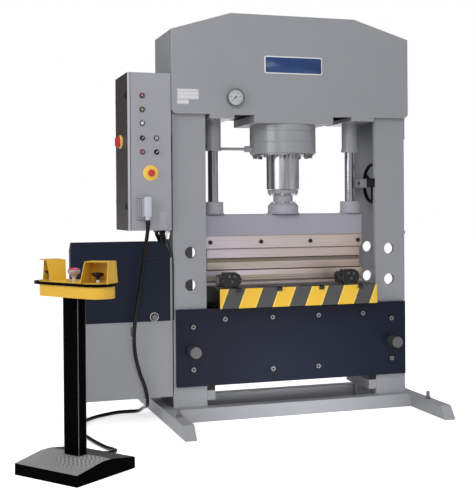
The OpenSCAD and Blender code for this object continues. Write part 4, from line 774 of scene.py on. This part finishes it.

# ------------------------ stops and clamps
# Side stops and finger clamps are black oxidised castings, oiled, with fluted knobs. They
# are screwed to the die holder, and bent spring rods lie beside the clamps.
# The wear mix and the strong edge term paint light highlights on the castings' edges.
black_cast = skinned("black_casting", (0.006, 0.006, 0.007), 0.2, Relief=0.5, Edge=3.0, Grain=160.0, Wear=0.6)
dress(black_cast, "holder_clamps", "stop_knob_left", "stop_knob_right")
STOPS, STOP_Y, STOP_FRONT, STOP_HALF = (-0.415, 0.344), -0.233, -0.261, 0.0535
cap = [(0, 0.0056), (0.0028, 0.0056), (0.0032, 0.0068), (0.0054, 0.0068), (0.0058, 0.0058), (0.0058, 0.001)]
spindle_end = [(0, 0), (0.011, 0), (0.011, 0.012), (0.009, 0.014), (0.009, 0.018), (0, 0.019)]
screws = []
for x in STOPS:
    screws += [turned(cap, (x - STOP_HALF + off, STOP_FRONT, z), sides=24)
        for off, z in ((0.034, 0.845), (0.068, 0.843), (0.052, 0.813))]
    screws.append(turned(spindle_end, (x + STOP_HALF - 0.002, STOP_Y, 0.821), (1, 0, 0), 6))
make("stop_screws", merge(*screws), bolt_zinc)
SPRING_CLAMPS, SPRING_R = (-0.134, 0.134, 0.388), 0.0028
SPRING_ROUTE = ((-0.004, -0.286, 0.781), (-0.03, -0.276, 0.7795), (-0.065, -0.256, 0.779),
    (-0.1, -0.24, 0.7788), (-0.118, -0.233, 0.7786))
springs = [tube(smooth_path([(x + off, y, z) for off, y, z in SPRING_ROUTE], 4), lambda length: SPRING_R, 8)
    for x in SPRING_CLAMPS]
make("clamp_springs", merge(*springs), black_cast)

# ------------------------ handwheel
# A black moulded wheel on a dark shaft; the shaft's bearing stands on a strip across the
# right column's two plates.
dress(skinned("wheel_black", (0.005, 0.005, 0.006), 0.3, Relief=0.05, Edge=0.5, gloss=0.05), "handwheel")

# ------------------------ electrical cabinet
# A folded steel box, sprayed like the frame; its door is dark, with a bright fold along
# its front edge and a rubber seal behind it.
CABINET_Y, DOOR_X = -0.206, -1.025
dress(skinned("cabinet_grey", (0.33, 0.33, 0.366), 0.4, Edge=0.45, Dust=0.1), "cabinet_body")


def door_colours(tree):
    """Dark textured paint outside, light grey on the folded rim and inside."""
    facing = term(tree, "TexCoord", "Normal")
    light = (facing.part("Y") < -FACING).math("MAXIMUM", facing.part("X") > FACING)
    return mix(tree, light, (0.04, 0.036, 0.0345), (0.36, 0.36, 0.39))


dress(skinned("door_paint", (0.033, 0.03, 0.029), 0.42, door_colours, Relief=0.3, Grain=380.0, Edge=0.8,
    gloss=0.25), "cabinet_door")
fold_paint = skinned("door_fold_paint", (0.46, 0.46, 0.49), 0.4, Edge=0.4)
seal_rubber = skinned("seal_rubber", (0.01, 0.01, 0.011), 0.6, Relief=0.2, Edge=0.2, gloss=0.1)


def oblong(left, right, low, high):
    """The outline of a rectangle."""
    return [(left, low), (right, low), (right, high), (left, high)]


SEAL_SIDES, FOLD_SIDES, TRIM_ENDS = (-1.0059, -1.0034), (-1.0212, -1.0066), (1.121, 2.029)
make("door_seal", prism(oblong(*SEAL_SIDES, *TRIM_ENDS), (0, CABINET_Y + 0.0004, 0), 0.0008), seal_rubber)
make("door_fold", prism(oblong(*FOLD_SIDES, *TRIM_ENDS), (0, CABINET_Y, 0), 0.0014), fold_paint,
    "door", bevel=0.0004)
plate_grey = skinned("cover_plate_grey", (0.345, 0.345, 0.385), Relief=0.05, Edge=0.3)
BLANK_X, BLANK_Z = -0.8075, 1.177
make("cabinet_blank_plate", prism(rounded(0.073, 0.1, 0.003), (BLANK_X, CABINET_Y, BLANK_Z), 0.0007),
    plate_grey, bevel=0.0002)

# ------------------------ controls
# 22 mm controls in black collars: two lamps, a key switch, two selectors and two
# buttons, and an emergency stop on its round yellow plate.
COLUMN_A, COLUMN_B = -0.936, -0.853
LAMPS, KEY_Z, ROW_Z, LOW_ROW_Z, ESTOP_X, ESTOP_Z = (1.897, 1.817), 1.739, 1.653, 1.573, -0.888, 1.452
SELECTORS = {"mode_selector": (COLUMN_A, ROW_Z), "motor_selector": (COLUMN_B, LOW_ROW_Z)}
collar_black = skinned("collar_black", (0.012, 0.012, 0.013), 0.3, Relief=0.03, Edge=1.5)
collar = [(0.0104, 0.003), (0.0152, 0.003), (0.0156, 0.0042), (0.015, 0.0062), (0.0122, 0.007),
    (0.0104, 0.0062), (0.0104, 0.003)]
lamp_ring = [(0.0118, 0.003), (0.0154, 0.003), (0.0157, 0.005), (0.014, 0.0068), (0.0118, 0.006),
    (0.0118, 0.003)]
seats = [(COLUMN_A, KEY_Z)] + [(x, z) for z in (ROW_Z, LOW_ROW_Z) for x in (COLUMN_A, COLUMN_B)]
for name, profile, places in (("switch_collars", collar, seats),
        ("lamp_collars", lamp_ring, [(COLUMN_A, z) for z in LAMPS])):
    make(name, merge(*[turned(profile, (x, CABINET_Y, z)) for x, z in places]), collar_black)


def lamp_colours(tree):
    """Red for the upper lens, green for the lower, both with a painted highlight in the centre."""
    place = object_place(tree)
    lens = mix(tree, place.part("Z") > sum(LAMPS) / 2, (0.085, 0.115, 0.02), (0.19, 0.03, 0.03))
    across = (place.part("X") - COLUMN_A).math("ABSOLUTE")
    rise = (place.part("Z") - LAMPS[1]).math("PINGPONG", (LAMPS[0] - LAMPS[1]) / 2)
    # The pale spot in the middle of each lens is a painted highlight.
    return mix(tree, (across * 0.55 + rise).remap(0.0035, 0.0015, 0.0, 0.75), lens, (0.75, 0.7, 0.62))


dress(skinned("lamp_lens", (0.3, 0.03, 0.03), 0.12, lamp_colours, Relief=0.02, coat=0.8, gloss=0.5),
    "indicator_lamps")
red_gloss = skinned("red_moulding", (0.52, 0.03, 0.03), 0.28, Relief=0.04, Edge=0.3, coat=0.2)
dress(red_gloss, "cabinet_estop")
dress(skinned("button_rose", (0.36, 0.12, 0.14), 0.3, Relief=0.03, Edge=0.3), "stop_button")
dress(skinned("black_moulding", (0.01, 0.01, 0.011), 0.22, Relief=0.03, Edge=2.5, gloss=0.35), *SELECTORS,
    "gauge_needle")
dress(skinned("button_grey", (0.34, 0.35, 0.36), 0.3, Edge=0.3), "start_button")
dress(ground("key_nickel", (0.62, 0.62, 0.64), 0.22, (80.0, 80.0, 80.0)), "key_switch")
marker = skinned("marker_grey", (0.46, 0.46, 0.49), 0.4, Relief=0.02, Edge=0.1)
LINE_Y, SLANT = CABINET_Y - 0.0219, 0.707
for name, (x, z) in SELECTORS.items():
    make(name + "_line", prism(rounded(0.0042, 0.017, 0.0018, 3), (x, LINE_Y, z), 0.0004, (SLANT, 0, -SLANT),
        (SLANT, 0, SLANT)), marker, name)
STOP_YELLOW, RING_PITCH, RING_GROOVE = (0.92, 0.62, 0.11), 0.0045, 0.0009


def ringed_yellow(tree):
    """Safety yellow with fine moulded rings round the emergency stop."""
    across = object_place(tree).part("X") - ESTOP_X
    rise = object_place(tree).part("Z") - ESTOP_Z
    far = (across * across + rise * rise).math("SQRT")
    return mix(tree, far.math("PINGPONG", RING_PITCH) < RING_GROOVE, STOP_YELLOW, (0.6, 0.3, 0.06))


stop_plate = skinned("stop_plate_yellow", STOP_YELLOW, 0.35, ringed_yellow, Relief=0.05, Edge=0.2)
plate_ring = [(0.0153, 0.0018), (0.0455, 0.0018), (0.0455, 0.0026), (0.044, 0.0036), (0.02, 0.0036),
    (0.0153, 0.0044), (0.0153, 0.0018)]
make("estop_plate", turned(plate_ring, (ESTOP_X, CABINET_Y, ESTOP_Z), sides=64), stop_plate)
grip_ring = [(0.0192, 0.0), (0.0204, 0.001), (0.0206, 0.006), (0.0196, 0.0085), (0.017, 0.0085), (0.017, 0.0)]
make("cabinet_estop_grip", turned(grip_ring, (ESTOP_X, CABINET_Y - 0.0175, ESTOP_Z), sides=12), red_gloss,
    "cabinet_estop")

# ------------------------ main switch and locks
# A red rotary handle on a yellow plate, on the door; its spindle reaches into the box.
# Two quarter-turn locks with black collars hold the door at its front edge.
SWITCH, OUTWARD = Vector((DOOR_X, -0.034, 1.64)), (-1, 0, 0)
LOCK_Y, LOCKS = -0.16, {"lock_top": 1.898, "lock_bottom": 1.257}
switch_yellow = skinned("switch_yellow", (0.92, 0.55, 0.16), 0.3, Relief=0.04, Edge=0.5, coat=0.3)
make("switch_plate", turned([(0.025, 0), (0.04, 0), (0.04, 0.0085), (0.038, 0.0105), (0.025, 0.0105),
    (0.025, 0)], SWITCH, OUTWARD, 48), switch_yellow, "door")
handle_shell = merge(
    turned([(0, -0.0267), (0.0078, -0.0267), (0.0078, 0.0045), (0.023, 0.0047), (0.023, 0.0108),
        (0.03, 0.0112), (0.0316, 0.013), (0.0316, 0.02), (0.029, 0.0235), (0, 0.025)], SWITCH, OUTWARD, 48),
    prism(rounded(0.018, 0.052, 0.009), SWITCH - Vector((0.0225, 0, 0)), 0.0145, (0, -1, 0)))
handle = make("switch_handle", handle_shell, red_gloss, "main_switch", bevel=0.0022, crease=50)
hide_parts("main_switch")
lock_black = skinned("lock_black", (0.008, 0.008, 0.009), 0.3, Relief=0.03, Edge=2.0)
dress(lock_black, "door_lock_top", "door_lock_bottom")
for name, z in LOCKS.items():
    make(name + "_collar", turned([(0.0145, 0), (0.0185, 0), (0.0185, 0.0022), (0.0145, 0.0034), (0.0145, 0)],
        (DOOR_X, LOCK_Y, z), OUTWARD, 32), lock_black, "door")

# ------------------------ socket and switchgear
# The socket's housing carries moulded ribs and a dark joint; the mounting plate inside
# holds rows of grey devices.
SOCKET_X, SOCKET_FACE_Y, RIB_HALF, RIB_STANDS = -0.9565, -0.24, 0.0008, 0.0012
ribs = [prism(oblong(x - 0.0007, x + 0.0007, 1.196, 1.308), (0, SOCKET_FACE_Y, 0), RIB_STANDS)
    for x in (-0.972, -0.962, -0.952)]
ribs += [prism(oblong(SOCKET_X - 0.0195, SOCKET_X + 0.0195, z - RIB_HALF, z + RIB_HALF),
    (0, SOCKET_FACE_Y, 0), RIB_STANDS) for z in (1.196, 1.306)]
make("socket_ribs", merge(*ribs), collar_black)
DEVICE_GREY, DEVICE_FRONT_X, DEVICE_PITCH, DEVICE_STRIP = (0.46, 0.46, 0.47), -0.846, 0.024, 0.007


def device_colours(tree):
    """A zinc plate behind pale grey devices with darker fronts."""
    place = object_place(tree)
    strip = place.part("Z").math("PINGPONG", DEVICE_PITCH) < DEVICE_STRIP
    return mix(tree, (place.part("X") < DEVICE_FRONT_X) * strip, DEVICE_GREY, (0.05, 0.05, 0.055))


dress(skinned("device_grey", DEVICE_GREY, 0.5, device_colours, Edge=0.3), "switchgear_plate")

# ------------------------ conduits
# Black hoses and cables run from a plate under the cabinet down behind the power unit's
# cover; one of them leaves the cabinet through a nickel plated gland.
dress(skinned("hose_black", (0.005, 0.006, 0.0055), 0.26, Relief=0.4, Grain=220.0, Edge=2.0), "conduits")
nickel = ground("nickel_plate", (0.66, 0.68, 0.66), 0.2, (80.0, 80.0, 80.0))
gland_shell = turned([(0.006, 0.0), (0.0165, 0.0), (0.0165, 0.024), (0.015, 0.028), (0.01, 0.052),
    (0.006, 0.054)], (-0.78, -0.165, 1.1195), (0, 0, -1), 12)
make("conduit_gland", gland_shell, nickel, bevel=0.0006)

# ------------------------ power unit
# A welded oil tank with a level gauge, a motor and a valve block on its lid, behind a
# navy folded cover that a round quarter-turn lock holds at the foot.
COVER_Y, LOCK_X, LOCK_Z, UNIT_LID_Z = -0.172, -0.865, 0.617, 0.5905
unit_colours = split_colour("Z", UNIT_LID_Z, GREY, (0.045, 0.055, 0.075))
dress(skinned("power_unit_paint", GREY, 0.42, unit_colours, Relief=0.12, Tone=0.08, Edge=0.35, Dust=0.15),
    "oil_tank")
dress(skinned("cover_navy", (0.0095, 0.0135, 0.027), 0.38, Relief=0.1, Tone=0.2, Edge=0.8, gloss=0.11,
    Wear=0.1), "power_unit_cover")
lock_seat, knob_seat = (LOCK_X, COVER_Y, LOCK_Z), (LOCK_X + 0.0028, COVER_Y, LOCK_Z - 0.0028)
make("cover_lock_ring", turned([(0.022, 0), (0.0258, 0), (0.0258, 0.001), (0.0245, 0.002), (0.0226, 0.0016),
    (0.022, 0)], lock_seat, sides=48), zinc)
make("cover_lock_cup", turned([(0, 0), (0.0221, 0), (0.0221, 0.0006), (0, 0.0006)], lock_seat), lock_black)
knob = merge(turned([(0, 0.0005), (0.0148, 0.0005), (0.0148, 0.0022), (0.0135, 0.0034), (0.0082, 0.0034),
    (0.0074, 0.0016), (0, 0.0016)], knob_seat, sides=32),
    turned([(0, 0.0014), (0.0042, 0.0014), (0.0036, 0.0038), (0, 0.004)], knob_seat, sides=3))
make("cover_lock_knob", knob, bolt_zinc)
LEVEL_X, TANK_Y, LEVEL_Z, LEVEL_NUTS = -1.001, -0.171, 0.538, (0.502, 0.573)
sight_glass = skinned("sight_glass", (0.1, 0.1, 0.085), 0.1, Relief=0.0, Edge=0.0, coat=0.8)
make("level_window", prism(rounded(0.01, 0.056, 0.004), (LEVEL_X, TANK_Y, LEVEL_Z), 0.0012), sight_glass,
    bevel=0.0004)
nuts = [turned([(0, 0), (0.0065, 0), (0.0065, 0.004), (0.005, 0.0055), (0, 0.0055)], (LEVEL_X, TANK_Y, z),
    sides=6) for z in LEVEL_NUTS]
make("level_gauge_nuts", merge(*nuts), zinc, bevel=0.0004)

# ------------------------ pedestal
# A heavy black base with a roof-shaped top sheet of worn chequer steel, and a black
# square tube whose corners carry a painted highlight.
POST, BASE_TURN = Vector((-1.456, -1.061, 0)), math.radians(38)
CHEQUERS_PER_METRE, SPECKLES_PER_METRE, WORN_SPOT = 75.0, 420.0, POST + Vector((0.02, -0.06, 0.07))


def chequer_top(tree):
    """Light worn steel on the front slope, painted shade on the rear one, black sides."""
    place, normal = object_place(tree), term(tree, "NewGeometry", "Normal")
    rear = term(tree, "VectorMath", "Value",
        {0: normal, 1: (math.cos(BASE_TURN), math.sin(BASE_TURN), 0)}, operation="DOT_PRODUCT") > 0.0
    squared = term(tree, "VectorRotate", 0, {"Vector": place, "Angle": -BASE_TURN})
    cells = term(tree, "TexChecker", "Fac", {"Vector": squared, "Scale": CHEQUERS_PER_METRE})
    near = term(tree, "VectorMath", "Value", {0: place, 1: tuple(WORN_SPOT)}, operation="DISTANCE")
    dots = (cells - 0.5) * near.remap(0.15, 0.06, 0.12, 1.2)
    grain = noise(place, SPECKLES_PER_METRE, 3.0, 0.8) - 0.5
    value = (dots * 0.2 + grain * 0.55 + 0.265).clamped()
    light = term(tree, "CombineColor", 0, {0: value, 1: value, 2: value})
    # The rear slope gets a dark colour as painted shade.
    slopes = mix(tree, rear, light, (0.062, 0.07, 0.066))
    return mix(tree, normal.part("Z") > FACING, (0.0008, 0.0008, 0.0008), slopes)


dress(skinned("chequer_base", (0.2, 0.2, 0.2), 0.45, chequer_top, Relief=0.35, Grain=300.0, Edge=0.15,
    gloss=0.008), "pedestal_base")
# The wear mix at full strength paints a light line on the post's corners as a highlight.
dress(skinned("post_black", (0.0008, 0.0008, 0.0009), 0.4, Relief=0.05, Edge=0.5, gloss=0.008,
    Edge_Width=0.006, Wear=1.0), "pedestal_column")
dress(skinned("gland_black", (0.01, 0.01, 0.011), 0.35, Relief=0.1, Edge=1.5), "cord_gland")

# ------------------------ control tray
# A folded tray and two hoods, sprayed warm yellow, with a black rubber edge between
# them; a palm button stands under each hood and an emergency stop between them.
dress(skinned("yellow_paint", (0.7, 0.41, 0.038), 0.34, Relief=0.06, Tone=0.05, Edge=0.35, Dust=0.06),
    "control_tray", "control_hoods")
dress(skinned("edge_rubber", (0.0012, 0.0012, 0.0012), 0.28, Edge=0.5, gloss=0.03), "tray_bead")
PALM_BLACK, PALM_STEM_TOP, STOP_STEM_TOP = (0.006, 0.006, 0.007), 0.92, 0.9575
palm_colours = split_colour("Z", PALM_STEM_TOP, (0.62, 0.56, 0.5), PALM_BLACK)
dress(skinned("palm_black", PALM_BLACK, 0.25, palm_colours, Relief=0.04, Edge=1.0, gloss=0.2),
    "palm_button_left", "palm_button_right")
stop_colours = split_colour("Z", STOP_STEM_TOP, (0.55, 0.5, 0.5), (0.42, 0.02, 0.045))
dress(skinned("stop_red", (0.42, 0.02, 0.04), 0.25, stop_colours, Relief=0.04, Edge=0.3, coat=0.3),
    "pedestal_estop")
stop_ring = skinned("stop_ring", (0.36, 0.3, 0.33), 0.25, metallic=0.15, Relief=0.03, Edge=0.2)
stop_collar = [(0.01, -0.024), (0.0125, -0.024), (0.014, -0.016), (0.0225, -0.01), (0.0285, -0.0035),
    (0.0308, 0.0035), (0.0306, 0.0085), (0.0285, 0.0115), (0.0252, 0.012), (0.0195, 0.0), (0.01, -0.01),
    (0.01, -0.024)]
make("pedestal_stop_collar", turned(stop_collar, (POST.x, POST.y, 0.95), (0, 0, 1)), stop_ring,
    "pedestal_estop")
